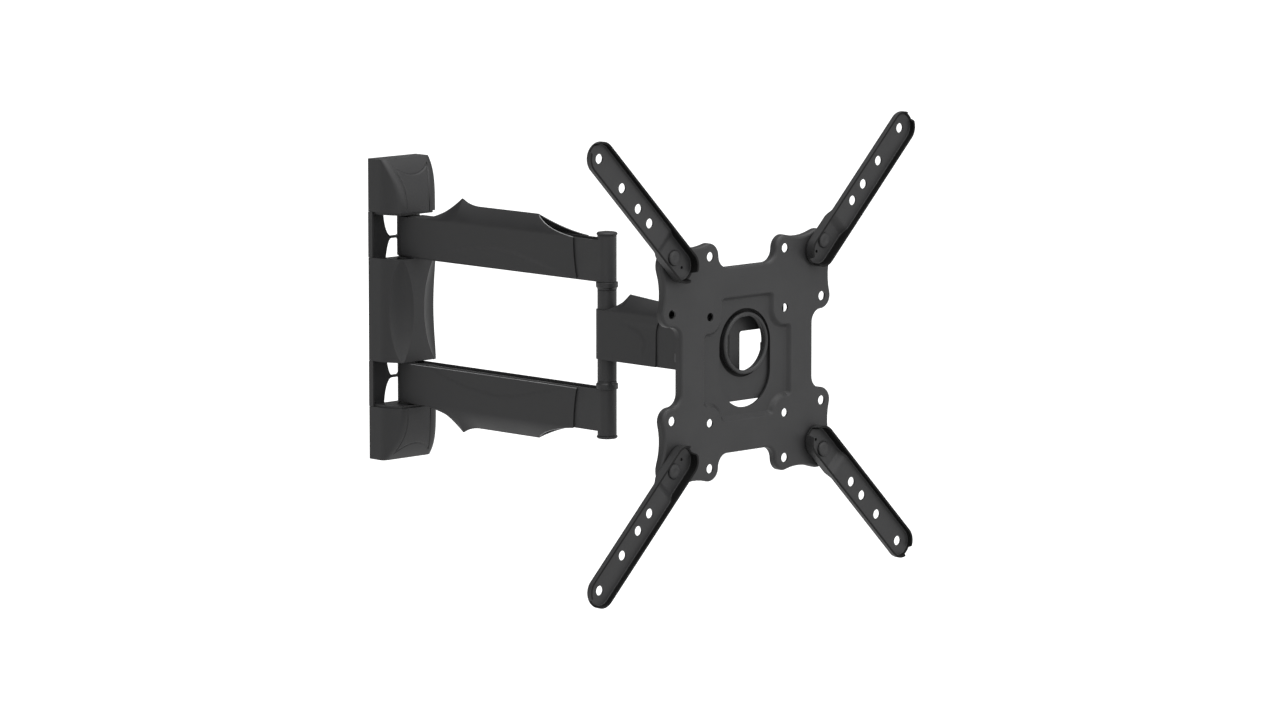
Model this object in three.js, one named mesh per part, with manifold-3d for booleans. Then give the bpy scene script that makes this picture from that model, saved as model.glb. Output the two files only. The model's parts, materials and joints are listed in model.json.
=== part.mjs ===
// Full motion television wall mount: wall bracket, twin main arms, forearm, swivel and tilt
// head, screen plate and four extension arms. Millimetres, +Z up, the wall is the plane Y = 0,
// the screen is on the -Y side, and the origin is the centre of the wall face.
import * as THREE from 'three';
import { mergeVertices } from 'three/addons/utils/BufferGeometryUtils.js';
import Module from 'manifold-3d';

const wasm = await Module();
wasm.setup();

// ---------------------------------------------------------------- driving dimensions
const GAP = 0.3; // between parts that touch
const ARC_STEPS = 6; // an arc in an outline has twice as many straight steps
const FINE_STEPS = 12; // for large round parts
const COARSE_STEPS = 2; // for the many short arcs of the screen plate
const PAST = 1; // how far a cutting solid runs past the surface it cuts

// Wall bracket
const BRACKET_HALF_HEIGHT = 150;
const BACK_SHEET = 3;
const BACK_HALF_WIDTH = 29;
const BACK_HALF_HEIGHT = 147.4;
const WINDOW_LOW = 51.4; // the arms leave the bracket between these heights
const WINDOW_HIGH = 94.8;
const CAP_LOW = 97.3; // the caps' open ends, just past the outer ears' undersides
const FLANGE_DEPTH = 6;
const CABLE_HOLE_HALF_WIDTH = 14.5;
const CABLE_HOLE_FLAT = 4; // half length of the straight part of a cable hole's ends
const CABLE_HOLE_TOP = 68.5;
const END_HOLE_LOW = 71;
const END_HOLE_HALF_HEIGHT = 30;
const STRAP_HALF_HEIGHT = 12; // strap across the middle of the centre hole
const LAG_SLOT_Z = 140;
const LAG_SLOT_RADIUS = 3.6;
const LAG_SLOT_HALF_LENGTH = 7;
const EAR_THICKNESS = 3.8;
const EAR_RADIUS = 12.5;
const EAR_BASE_HALF = 22;
const EAR_SHOULDER = 4;

// Bracket covers
const COVER_HALF_WIDTH = 32;
const COVER_CORNER_RADIUS = 32.6;
const COVER_STRAIGHT_DEPTH = 16;
const COVER_DEPTH = 39.1;
const COVER_WALL = 2.2;
const CAP_END_DROP = 17.9; // how far the cap's front falls back by its end
const CAP_DROP_POWER = 2.5;
const SCOOP_AXIS_X = 31.9;
const SCOOP_AXIS_DEPTH = 61.4;
const SCOOP_RADIUS = 33.5;
const SCOOP_SAG = 292; // the scoop's radius falls by z squared over this

// Pivots, all upright
const WALL_PIVOT_Y = -22.8;
const ELBOW_Y = -306.2;
const HEAD_Y = -455;
const WALL_PIN_RADIUS = 5;
const HEAD_PIN_RADIUS = 6;
const SHAFT_RADIUS = 7;
const POST_RADIUS = 9.3;
const POST_TOP = 97;
const COLLAR_RADIUS = 10.75;
const COLLAR_NECK = 9.5;
const COLLAR_LOW = 44.3;
const WASHER_RADIUS = 11;
const WASHER_THICKNESS = 1.7;
const CAP_RADIUS = 10.15; // end caps of the elbow post
const CAP_HEIGHT = 3.4;

// Fasteners: flat radius of the hexagon, height of the head and of the nut, thread past the ear
const WALL_BOLT = { hex: 8, head: 5.5, nut: 7, tail: 8 };
const HEAD_BOLT = { hex: 9.5, head: 6.5, nut: 8, tail: 9 };
const TILT_BOLT = { hex: 6.5, head: 5, nut: 6.5, tail: 9 };

// Main arms
const ARM_LOW = 52.1;
const ARM_HIGH = 92.4;
const STRIP = 2; // thickness of the folded steel
const STRIP_HALF = 9.1; // half the width across a folded strip
const ARM_COVER_HALF = 10.6;
const ARM_COVER_INNER = 9.65;
const ARM_COVER_END = -270;
const ROOF_START = -36;
const ROOF_RISE = 1.2; // height of the cover's roof over the arm, at its wall end
const HUMP_START = -60.6;
const HUMP_BEND = { y: -83, z: 101.5 };
const HUMP_PEAK_Y = -103.3;
const HUMP_PEAK_Z = 116;
const HUMP_PEAK_SHARPNESS = 8;
const HUMP_FLAT_Y = -126;
const HUMP_FLAT_Z = 109.8;
const OUTLET_START = -211.3; // from here the hump falls away and the cables come out
const OUTLET_BEND = { y: -240, z: 95.5 };
const OUTLET_LIP = 0.4;
const SHELL = 1.3; // wall of the arm covers

// Forearm
const FOREARM_LOW = -22.5;
const FOREARM_HIGH = 25.5;
const FOREARM_TUBE_HALF = 44;
const BARREL_RADIUS = 10;
const FOREARM_COVER_END = -383;
const CREST_PEAK_Y = -338;
const CREST_PEAK_Z = 42.6;
const CREST_END_Y = -378;
const CREST_END_Z = 39.4;
const CREST_RISE = { y: -324, z: 30 }; // bend of the crest's leading slope
const CREST_FALL = { y: -392, z: 30.5 }; // bend of its trailing slope
const SKIRT_LEAN = 20; // how far the cover's end leans out at its top
const SKIRT_LEAN_START = 8;

// Swivel bracket
const SWIVEL_SHEET = 3;
const SWIVEL_WEB_FRONT = -478.5;
const SWIVEL_HALF_WIDTH = 58;
const SWIVEL_HALF_HEIGHT = 33;
const SWIVEL_SPINE_HALF = 6.7;
const SWIVEL_WINDOW_HALF_HEIGHT = 19.5;
const SWIVEL_WINDOW_CORNER = 2.5;
const SWIVEL_EAR_RADIUS = 13;
const HEAD_WASHER = 1.5;

// Tilt
const TILT_Y = -471;
const TILT_BOLT_RADIUS = 4;
const TILT_CHEEK_REACH = 8.5;
const TILT_CHEEK_HALF_HEIGHT = 30;
const CHEEK_SHOULDER = 5; // straight part of a cheek next to its sheet

// Tilt bracket
const TILT_SHEET = 2.2;
const TILT_FRONT = -489.7;
const RING_Z = 10.5;
const RING_INNER = 25.7;
const RING_OUTER = 29.5;
const RING_FRONT = -494.6;
const TILT_PLATE_LOW = -44.2;
const TILT_PLATE_HIGH = 49;

// Screen plate
const PLATE_SHEET = 2;
const PLATE_FRONT = -496;
const PLATE_RIM = 8; // depth of its turned-back rim
const PLATE_CENTRE_Z = -3.4;
const PLATE_SIDE = 88;
const TAB_FAR = 100;
const TAB_NEAR = 50;
const TAB_RADIUS = 12.4;
const CORNER_CENTRE = 96;
const CORNER_RADIUS = 18.5;
const DIP_RADIUS = 60;
const FILLET_RADIUS = 12;
const TAB_HOLE_RADIUS = 4.5;
const INNER_HOLE_RADIUS = 4.1;
const INNER_HOLE_HIGH = 39.8;
const INNER_HOLE_LOW = -60.3;
const RECESS_DEPTH = 4;
const RECESS_HALF = 58;
const RECESS_CENTRE_Z = -2.2;
const ISLAND_RADIUS = 15.5;
const OPENING_RADIUS = 34;
const OPENING_HALF_STRAIGHT = 12.9;

// Extension arms
const ARM_PIVOT = 100; // across and up from the middle
const ARM_HALF_WIDTH = 15.5;
const ARM_ROOT = 12; // from the pivot back to the middle of the round root
const ARM_TIP = 142.4; // from the pivot to the middle of the round tip
const ARM_SHEET = 2;
const ARM_ROOT_BACK = -496.3;
const ARM_BACK = -500.3;
const ARM_FRONT = -507.3;
const ARM_STEP = 22; // from the pivot to the step in its floor
const ARM_HOLES = [50, 70.7, 100, 141.4]; // from the pivot
const ARM_HOLE_RADIUS = 4.7;
const DETENT = 14; // from the pivot back to the small hole
const RIM_GAP_HALF = 5;
const RIVET_RADIUS = 3;
const RIVET_HEAD = 7.5;
const RIVET_HEAD_HEIGHT = 2.2;
const RIVET_TAIL = 5.5;
const RIVET_TAIL_HEIGHT = 1.8;
const DETENT_RADIUS = 1.5;

// ---------------------------------------------------------------- materials
const powderCoat = new THREE.MeshStandardMaterial({ color: 0x1c1c1d, roughness: 0.55, metalness: 0.4 });
const plastic = new THREE.MeshStandardMaterial({ color: 0x1a1a1b, roughness: 0.6, metalness: 0 });
const darkSteel = new THREE.MeshStandardMaterial({ color: 0x2a2a2c, roughness: 0.4, metalness: 0.8 });
const nylon = new THREE.MeshStandardMaterial({ color: 0x121213, roughness: 0.5, metalness: 0 });

// ---------------------------------------------------------------- solids from outlines
function solid(geometry) {
  geometry.deleteAttribute('normal');
  geometry.deleteAttribute('uv');
  const merged = mergeVertices(geometry, 1e-4);
  return new wasm.Manifold(new wasm.Mesh({
    numProp: 3,
    vertProperties: new Float32Array(merged.attributes.position.array),
    triVerts: new Uint32Array(merged.index.array),
  }));
}

function mesh(name, body, material) {
  const { vertProperties, triVerts } = body.getMesh();
  const geometry = new THREE.BufferGeometry();
  geometry.setAttribute('position', new THREE.BufferAttribute(vertProperties, 3));
  geometry.setIndex(new THREE.BufferAttribute(triVerts, 1));
  geometry.computeVertexNormals();
  const piece = new THREE.Mesh(geometry, material);
  piece.name = name;
  return piece;
}

function extrude(shape, depth, curveSegments) {
  return new THREE.ExtrudeGeometry(shape, { depth, bevelEnabled: false, curveSegments });
}

// An outline drawn in plan (X, Y), standing from zLow to zHigh
function upright(shape, zLow, zHigh, steps = ARC_STEPS) {
  return solid(extrude(shape, zHigh - zLow, steps).translate(0, 0, zLow));
}

// An outline drawn from the front (X, Z), from yBack out towards the screen to yFront
function outward(shape, yBack, yFront, steps = ARC_STEPS) {
  return solid(extrude(shape, yBack - yFront, steps).rotateX(Math.PI / 2).translate(0, yBack, 0));
}

// An outline drawn from the side (Y, Z), from xLow to xHigh
function across(shape, xLow, xHigh, steps = ARC_STEPS) {
  const turn = new THREE.Matrix4().makeBasis(
    new THREE.Vector3(0, 1, 0),
    new THREE.Vector3(0, 0, 1),
    new THREE.Vector3(1, 0, 0),
  );
  return solid(extrude(shape, xHigh - xLow, steps).applyMatrix4(turn).translate(xLow, 0, 0));
}

// A profile of (radius, height) points turned about the Z axis
function turned(profile) {
  return solid(new THREE.LatheGeometry(profile, 2 * FINE_STEPS).rotateX(Math.PI / 2));
}

function disc(x, y, radius) {
  return new THREE.Shape().absarc(x, y, radius, 0, 2 * Math.PI, false);
}

function rectangle(x0, y0, x1, y1) {
  const shape = new THREE.Shape();
  shape.moveTo(x0, y0);
  shape.lineTo(x1, y0);
  shape.lineTo(x1, y1);
  shape.lineTo(x0, y1);
  shape.closePath();
  return shape;
}

function hexagon(x, y, flatRadius) {
  const shape = new THREE.Shape();
  for (let side = 0; side < 6; side += 1) {
    const angle = (side + 0.5) * Math.PI / 3;
    const reach = flatRadius / Math.cos(Math.PI / 6);
    if (side === 0) shape.moveTo(x + reach * Math.cos(angle), y + reach * Math.sin(angle));
    else shape.lineTo(x + reach * Math.cos(angle), y + reach * Math.sin(angle));
  }
  shape.closePath();
  return shape;
}

// A half circle at yA and straight sides that end square at yB
function tongue(yA, yB, radius) {
  const shape = new THREE.Shape();
  shape.moveTo(radius, yB);
  shape.lineTo(radius, yA);
  const turn = yB < yA;
  shape.absarc(0, yA, radius, 0, turn ? Math.PI : -Math.PI, !turn);
  shape.lineTo(-radius, yB);
  shape.closePath();
  return shape;
}

// A tall hole whose round ends have a short straight part in their middle
function cableHole(z, halfHeight) {
  const roundWidth = CABLE_HOLE_HALF_WIDTH - CABLE_HOLE_FLAT;
  const shape = new THREE.Shape();
  shape.moveTo(CABLE_HOLE_FLAT, z - halfHeight);
  shape.absellipse(CABLE_HOLE_FLAT, z, roundWidth, halfHeight, -Math.PI / 2, Math.PI / 2, false, 0);
  shape.absellipse(-CABLE_HOLE_FLAT, z, roundWidth, halfHeight, Math.PI / 2, 1.5 * Math.PI, false, 0);
  shape.closePath();
  return shape;
}

// ---------------------------------------------------------------- wall bracket
// Undersides of the ears that hold the upper wall pin, above and below the upper window
const OUTER_EAR_LOW = WINDOW_HIGH + GAP / 2;
const INNER_EAR_LOW = ARM_LOW - 2 * GAP - WASHER_THICKNESS - EAR_THICKNESS;

function wallPlate() {
  const sheet = rectangle(-BACK_HALF_WIDTH, -BACK_HALF_HEIGHT, BACK_HALF_WIDTH, BACK_HALF_HEIGHT);
  const through = (shape) => outward(shape, PAST, -BACK_SHEET - PAST, FINE_STEPS);
  let body = outward(sheet, 0, -BACK_SHEET);
  for (const side of [1, -1]) {
    const low = side > 0 ? WINDOW_LOW + GAP : -CAP_LOW + GAP;
    const high = side > 0 ? CAP_LOW - GAP : -WINDOW_LOW - GAP;
    const wide = rectangle(-COVER_HALF_WIDTH, low, COVER_HALF_WIDTH, high);
    const trough = rectangle(-COVER_HALF_WIDTH + STRIP, low - PAST, COVER_HALF_WIDTH - STRIP, high + PAST);
    const flanges = outward(wide, 0, -FLANGE_DEPTH)
      .subtract(outward(trough, -BACK_SHEET, -FLANGE_DEPTH - PAST));
    const endHole = cableHole(side * (END_HOLE_LOW + END_HOLE_HALF_HEIGHT), END_HOLE_HALF_HEIGHT);
    body = body
      .add(flanges)
      .subtract(through(endHole))
      .subtract(through(lagSlot(side * LAG_SLOT_Z)));
  }
  const strap = rectangle(-BACK_HALF_WIDTH, -STRAP_HALF_HEIGHT, BACK_HALF_WIDTH, STRAP_HALF_HEIGHT);
  body = body
    .subtract(through(cableHole(0, CABLE_HOLE_TOP)))
    .add(outward(strap, 0, -BACK_SHEET));
  const pinRoom = upright(disc(0, WALL_PIVOT_Y, WALL_PIN_RADIUS + GAP), -BACK_HALF_HEIGHT, BACK_HALF_HEIGHT);
  return body
    .add(wideEar(OUTER_EAR_LOW))
    .add(ear(INNER_EAR_LOW))
    .add(ear(-INNER_EAR_LOW - EAR_THICKNESS))
    .add(wideEar(-OUTER_EAR_LOW - EAR_THICKNESS))
    .subtract(pinRoom);
}

function lagSlot(z) {
  const shape = new THREE.Shape();
  shape.moveTo(LAG_SLOT_HALF_LENGTH - LAG_SLOT_RADIUS, z - LAG_SLOT_RADIUS);
  shape.absarc(LAG_SLOT_HALF_LENGTH - LAG_SLOT_RADIUS, z, LAG_SLOT_RADIUS, -Math.PI / 2, Math.PI / 2, false);
  shape.absarc(LAG_SLOT_RADIUS - LAG_SLOT_HALF_LENGTH, z, LAG_SLOT_RADIUS, Math.PI / 2, 1.5 * Math.PI, false);
  shape.closePath();
  return shape;
}

// The ear that a cap hides, as wide and deep as the cap's inside
function wideEar(low) {
  const plan = upright(coverPlan(COVER_WALL + GAP), low, low + EAR_THICKNESS);
  const behind = rectangle(-COVER_HALF_WIDTH, -BACK_SHEET + GAP, COVER_HALF_WIDTH, 2 * PAST);
  return plan.subtract(upright(behind, low - PAST, low + EAR_THICKNESS + PAST));
}

function ear(low) {
  const shape = new THREE.Shape();
  shape.moveTo(EAR_BASE_HALF, -BACK_SHEET + GAP);
  shape.lineTo(EAR_BASE_HALF, -BACK_SHEET - EAR_SHOULDER);
  shape.lineTo(EAR_RADIUS, WALL_PIVOT_Y);
  shape.absarc(0, WALL_PIVOT_Y, EAR_RADIUS, 0, -Math.PI, true);
  shape.lineTo(-EAR_BASE_HALF, -BACK_SHEET - EAR_SHOULDER);
  shape.lineTo(-EAR_BASE_HALF, -BACK_SHEET + GAP);
  shape.closePath();
  return upright(shape, low, low + EAR_THICKNESS);
}

// Plan of a bracket cover, drawn in from its outer surface by inset
function coverPlan(inset) {
  const half = COVER_HALF_WIDTH - inset;
  const radius = COVER_CORNER_RADIUS - inset;
  const centre = COVER_HALF_WIDTH - COVER_CORNER_RADIUS;
  const sweep = Math.asin((COVER_DEPTH - inset - COVER_STRAIGHT_DEPTH) / radius);
  const back = inset > 0 ? PAST : -GAP;
  const shape = new THREE.Shape();
  shape.moveTo(half, back);
  shape.lineTo(half, -COVER_STRAIGHT_DEPTH);
  shape.absarc(centre, -COVER_STRAIGHT_DEPTH, radius, 0, -sweep, true);
  shape.absarc(-centre, -COVER_STRAIGHT_DEPTH, radius, sweep - Math.PI, -Math.PI, true);
  shape.lineTo(-half, back);
  shape.closePath();
  return shape;
}

// Side view of the top cap: its front arches back towards its upper end
function capArch(inset) {
  const top = BRACKET_HALF_HEIGHT - inset;
  const length = BRACKET_HALF_HEIGHT - CAP_LOW;
  const steps = 10;
  const shape = new THREE.Shape();
  shape.moveTo(2 * PAST, top);
  shape.lineTo(2 * PAST, CAP_LOW - 4 * PAST);
  shape.lineTo(inset - COVER_DEPTH - PAST, CAP_LOW - 4 * PAST);
  shape.lineTo(inset - COVER_DEPTH - PAST, CAP_LOW);
  for (let step = 1; step <= steps; step += 1) {
    const z = CAP_LOW + (top - CAP_LOW) * step / steps;
    const drop = CAP_END_DROP * Math.pow((z - CAP_LOW) / length, CAP_DROP_POWER);
    shape.lineTo(inset - COVER_DEPTH + drop, z);
  }
  shape.closePath();
  return shape;
}

function topCap() {
  const half = COVER_HALF_WIDTH + PAST;
  const outer = upright(coverPlan(0), CAP_LOW, BRACKET_HALF_HEIGHT)
    .intersect(across(capArch(0), -half, half));
  const inner = upright(coverPlan(COVER_WALL), CAP_LOW - PAST, BRACKET_HALF_HEIGHT)
    .intersect(across(capArch(COVER_WALL), -half, half));
  return outer.subtract(inner);
}

// The barrel-shaped cutter of a scoop, its surface moved out by grow
function scoopCutter(side, grow) {
  const steps = 6;
  const reach = WINDOW_LOW + 2 * PAST;
  const profile = [new THREE.Vector2(0, -reach)];
  for (let step = 0; step <= steps; step += 1) {
    const z = -reach + 2 * reach * step / steps;
    profile.push(new THREE.Vector2(SCOOP_RADIUS + grow - z * z / SCOOP_SAG, z));
  }
  profile.push(new THREE.Vector2(0, reach));
  return turned(profile).translate(side * SCOOP_AXIS_X, -SCOOP_AXIS_DEPTH, 0);
}

function middleCover() {
  let outer = upright(coverPlan(0), -WINDOW_LOW, WINDOW_LOW);
  let inner = upright(coverPlan(COVER_WALL), -WINDOW_LOW - PAST, WINDOW_LOW + PAST);
  for (const side of [1, -1]) {
    outer = outer.subtract(scoopCutter(side, 0));
    inner = inner.subtract(scoopCutter(side, COVER_WALL));
  }
  return outer.subtract(inner);
}

// A bolt on an upright axis with a hexagon head on top
function uprightBolt(y, radius, low, headLow, size) {
  return upright(disc(0, y, radius), low, headLow + size.head / 2)
    .add(upright(hexagon(0, y, size.hex), headLow, headLow + size.head));
}

// The nut under it, its upper face at high
function uprightNut(y, radius, high, size) {
  const shape = hexagon(0, y, size.hex);
  shape.holes.push(disc(0, y, radius + GAP));
  return upright(shape, high - size.nut, high);
}

function ringAt(y, outer, inner, low, high) {
  const shape = disc(0, y, outer);
  shape.holes.push(disc(0, y, inner));
  return upright(shape, low, high);
}

function wallPin() {
  const headLow = OUTER_EAR_LOW + EAR_THICKNESS + GAP;
  return uprightBolt(WALL_PIVOT_Y, WALL_PIN_RADIUS, INNER_EAR_LOW - WALL_BOLT.tail, headLow, WALL_BOLT);
}

function wallNut() {
  return uprightNut(WALL_PIVOT_Y, WALL_PIN_RADIUS, INNER_EAR_LOW - GAP, WALL_BOLT);
}

function wallWasher(low) {
  return ringAt(WALL_PIVOT_Y, WASHER_RADIUS, WALL_PIN_RADIUS + GAP, low, low + WASHER_THICKNESS);
}

// ---------------------------------------------------------------- main arms
function mainArm() {
  const strip = upright(tongue(WALL_PIVOT_Y, ELBOW_Y, STRIP_HALF), ARM_LOW, ARM_HIGH)
    .subtract(upright(tongue(WALL_PIVOT_Y, ELBOW_Y, STRIP_HALF - STRIP), ARM_LOW - PAST, ARM_HIGH + PAST));
  const webHalf = STRIP_HALF - STRIP / 2;
  const web = rectangle(-webHalf, HUMP_START, webHalf, WALL_PIVOT_Y - STRIP_HALF);
  const bore = disc(0, ELBOW_Y, SHAFT_RADIUS + GAP);
  return strip
    .add(upright(web, ARM_LOW + STRIP, ARM_LOW + 2 * STRIP))
    .add(upright(disc(0, ELBOW_Y, POST_RADIUS), ARM_LOW, POST_TOP, FINE_STEPS))
    .subtract(upright(bore, ARM_LOW - PAST, POST_TOP + PAST, FINE_STEPS));
}

function wallBush() {
  return ringAt(WALL_PIVOT_Y, STRIP_HALF - STRIP - GAP, WALL_PIN_RADIUS + GAP, ARM_LOW, ARM_HIGH);
}

// Cross-section of a cover's hump, narrowing from half wide at the base to its ridge
function humpSection(half, base, height) {
  const rise = [0, 0.3, 0.55, 0.75, 0.9, 1];
  const shape = new THREE.Shape();
  shape.moveTo(-half, base - 3 * PAST);
  shape.lineTo(half, base - 3 * PAST);
  for (const part of rise) {
    shape.lineTo(humpHalf(half, part), base + height * part);
  }
  for (const part of rise.slice().reverse()) {
    shape.lineTo(-humpHalf(half, part), base + height * part);
  }
  shape.closePath();
  return shape;
}

function humpHalf(half, part) {
  return half * (1 - 0.88 * Math.pow(part, 1.5));
}

// Side view of the hump on a main arm's cover, lowered by inset
function armHumpSide(inset, outletOpen) {
  const shape = new THREE.Shape();
  const floor = ARM_HIGH - 2 * PAST;
  shape.moveTo(ROOF_START + inset, floor);
  shape.lineTo(ROOF_START - inset, ARM_HIGH + ROOF_RISE - inset);
  shape.lineTo(HUMP_START, ARM_HIGH + ROOF_RISE - inset);
  shape.quadraticCurveTo(HUMP_BEND.y, HUMP_BEND.z - inset, HUMP_PEAK_Y, HUMP_PEAK_Z - inset);
  const flatZ = HUMP_FLAT_Z - inset;
  shape.quadraticCurveTo(HUMP_PEAK_Y - HUMP_PEAK_SHARPNESS, flatZ, HUMP_FLAT_Y, flatZ);
  if (outletOpen) {
    shape.lineTo(ARM_COVER_END - PAST, flatZ);
    shape.lineTo(ARM_COVER_END - PAST, floor);
  } else {
    shape.lineTo(OUTLET_START, HUMP_FLAT_Z);
    shape.quadraticCurveTo(OUTLET_BEND.y, OUTLET_BEND.z, ARM_COVER_END, ARM_HIGH + OUTLET_LIP);
    shape.lineTo(ARM_COVER_END, floor);
  }
  shape.closePath();
  return shape;
}

function armCover() {
  const height = HUMP_PEAK_Z - ARM_HIGH;
  const half = ARM_COVER_HALF;
  const skirt = upright(tongue(WALL_PIVOT_Y, ARM_COVER_END, half), ARM_LOW + SHELL, ARM_HIGH);
  const hump = across(armHumpSide(0, false), -half, half)
    .intersect(outward(humpSection(half, ARM_HIGH, height), ROOF_START + PAST, ARM_COVER_END - PAST));
  const room = upright(tongue(WALL_PIVOT_Y, ARM_COVER_END - PAST, ARM_COVER_INNER), ARM_LOW, ARM_HIGH + GAP);
  const hollowSection = humpSection(half - SHELL, ARM_HIGH, height - SHELL);
  const hollow = across(armHumpSide(SHELL, true), -half, half)
    .intersect(outward(hollowSection, ROOF_START - SHELL, ARM_COVER_END - PAST));
  return skirt.add(hump).subtract(room).subtract(hollow);
}

// ---------------------------------------------------------------- elbow post
function elbowShaft() {
  return upright(disc(0, ELBOW_Y, SHAFT_RADIUS), -POST_TOP, POST_TOP, FINE_STEPS);
}

function postCap() {
  const low = POST_TOP + GAP;
  const profile = [
    new THREE.Vector2(0, low),
    new THREE.Vector2(CAP_RADIUS, low),
    new THREE.Vector2(CAP_RADIUS, low + 0.5 * CAP_HEIGHT),
    new THREE.Vector2(0.9 * CAP_RADIUS, low + 0.75 * CAP_HEIGHT),
    new THREE.Vector2(0.5 * CAP_RADIUS, low + 0.95 * CAP_HEIGHT),
    new THREE.Vector2(0, low + CAP_HEIGHT),
  ];
  return turned(profile).translate(0, ELBOW_Y, 0);
}

function collar() {
  const high = ARM_LOW - GAP;
  const bore = SHAFT_RADIUS + GAP;
  const height = high - COLLAR_LOW;
  const profile = [
    new THREE.Vector2(bore, COLLAR_LOW),
    new THREE.Vector2(COLLAR_NECK, COLLAR_LOW),
    new THREE.Vector2(COLLAR_NECK, COLLAR_LOW + 0.2 * height),
    new THREE.Vector2(COLLAR_RADIUS, COLLAR_LOW + 0.35 * height),
    new THREE.Vector2(COLLAR_RADIUS, high),
    new THREE.Vector2(bore, high),
    new THREE.Vector2(bore, COLLAR_LOW),
  ];
  return turned(profile).translate(0, ELBOW_Y, 0);
}

// ---------------------------------------------------------------- forearm
function forearm() {
  const tube = FOREARM_TUBE_HALF;
  const inner = STRIP_HALF - STRIP;
  const bore = disc(0, ELBOW_Y, SHAFT_RADIUS + GAP);
  return upright(rectangle(-STRIP_HALF, HEAD_Y, STRIP_HALF, ELBOW_Y), FOREARM_LOW, FOREARM_HIGH)
    .subtract(upright(rectangle(-inner, HEAD_Y, inner, ELBOW_Y), FOREARM_LOW - PAST, FOREARM_HIGH + PAST))
    .add(upright(disc(0, ELBOW_Y, POST_RADIUS), -tube, tube, FINE_STEPS))
    .add(upright(disc(0, HEAD_Y, BARREL_RADIUS), FOREARM_LOW, FOREARM_HIGH, FINE_STEPS))
    .subtract(upright(bore, -tube - PAST, tube + PAST, FINE_STEPS))
    .subtract(upright(disc(0, HEAD_Y, HEAD_PIN_RADIUS + GAP), FOREARM_LOW - PAST, FOREARM_HIGH + PAST));
}

// Side view of the crest on the forearm's cover, lowered by inset
function crestSide(inset, endOpen) {
  const floor = FOREARM_HIGH - 2 * PAST;
  const end = FOREARM_COVER_END - SKIRT_LEAN;
  const shape = new THREE.Shape();
  shape.moveTo(ELBOW_Y - POST_RADIUS - inset, floor);
  shape.lineTo(ELBOW_Y - POST_RADIUS - inset, FOREARM_HIGH + ROOF_RISE - inset);
  shape.quadraticCurveTo(CREST_RISE.y, CREST_RISE.z - inset, CREST_PEAK_Y, CREST_PEAK_Z - inset);
  shape.lineTo(CREST_END_Y, CREST_END_Z - inset);
  if (endOpen) {
    shape.lineTo(end - PAST, CREST_END_Z - inset);
    shape.lineTo(end - PAST, floor);
  } else {
    shape.quadraticCurveTo(CREST_FALL.y, CREST_FALL.z, end, FOREARM_HIGH + ROOF_RISE);
    shape.lineTo(end, floor);
  }
  shape.closePath();
  return shape;
}

// Side view of the forearm cover's skirt, whose free end leans outward above the middle
function forearmSkirtSide() {
  const shape = new THREE.Shape();
  shape.moveTo(ELBOW_Y + ARM_COVER_HALF + PAST, FOREARM_LOW);
  shape.lineTo(FOREARM_COVER_END, FOREARM_LOW);
  shape.lineTo(FOREARM_COVER_END, SKIRT_LEAN_START);
  shape.quadraticCurveTo(
    FOREARM_COVER_END - PAST, CREST_FALL.z - PAST, FOREARM_COVER_END - SKIRT_LEAN, CREST_FALL.z,
  );
  shape.lineTo(ELBOW_Y + ARM_COVER_HALF + PAST, CREST_FALL.z);
  shape.closePath();
  return shape;
}

function forearmCover() {
  const end = FOREARM_COVER_END - SKIRT_LEAN;
  const height = CREST_PEAK_Z - FOREARM_HIGH;
  const half = ARM_COVER_HALF;
  const skirt = upright(tongue(ELBOW_Y, end, half), FOREARM_LOW, FOREARM_HIGH)
    .intersect(across(forearmSkirtSide(), -half - PAST, half + PAST));
  const crest = across(crestSide(0, false), -half, half)
    .intersect(outward(humpSection(half, FOREARM_HIGH, height), ELBOW_Y, end - PAST));
  const room = upright(tongue(ELBOW_Y, end - PAST, ARM_COVER_INNER), FOREARM_LOW - PAST, FOREARM_HIGH + GAP);
  const hollow = across(crestSide(SHELL, true), -half, half)
    .intersect(outward(humpSection(half - SHELL, FOREARM_HIGH, height - SHELL), ELBOW_Y, end - PAST));
  const clearance = upright(disc(0, ELBOW_Y, ARM_COVER_INNER), FOREARM_LOW, FOREARM_TUBE_HALF);
  return skirt.add(crest).subtract(room).subtract(hollow).subtract(clearance);
}

// ---------------------------------------------------------------- swivel head
function swivelEarLevels() {
  return [FOREARM_HIGH + 2 * GAP + HEAD_WASHER, FOREARM_LOW - 2 * GAP - HEAD_WASHER - SWIVEL_SHEET];
}

function swivelBracket() {
  const back = SWIVEL_WEB_FRONT + SWIVEL_SHEET;
  const half = SWIVEL_HALF_WIDTH;
  const high = SWIVEL_HALF_HEIGHT;
  const web = rectangle(-half, -high, half, high);
  for (const side of [1, -1]) {
    const inner = side * SWIVEL_SPINE_HALF;
    const outer = side * (half - SWIVEL_SHEET);
    web.holes.push(roundedWindow(Math.min(inner, outer), Math.max(inner, outer), SWIVEL_WINDOW_HALF_HEIGHT));
  }
  let body = outward(web, back, SWIVEL_WEB_FRONT);
  for (const low of swivelEarLevels()) {
    const lobe = tongue(HEAD_Y, SWIVEL_WEB_FRONT + GAP, SWIVEL_EAR_RADIUS);
    body = body.add(upright(lobe, low, low + SWIVEL_SHEET));
  }
  for (const side of [1, -1]) {
    const inner = side > 0 ? half - SWIVEL_SHEET : -half;
    body = body.add(across(cheekSide(SWIVEL_WEB_FRONT + GAP, high), inner, inner + SWIVEL_SHEET));
  }
  const pinRoom = upright(disc(0, HEAD_Y, HEAD_PIN_RADIUS + GAP), -2 * high, 2 * high);
  const boltRoom = across(disc(TILT_Y, 0, TILT_BOLT_RADIUS + GAP), -half - PAST, half + PAST);
  return body.subtract(pinRoom).subtract(boltRoom);
}

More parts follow.
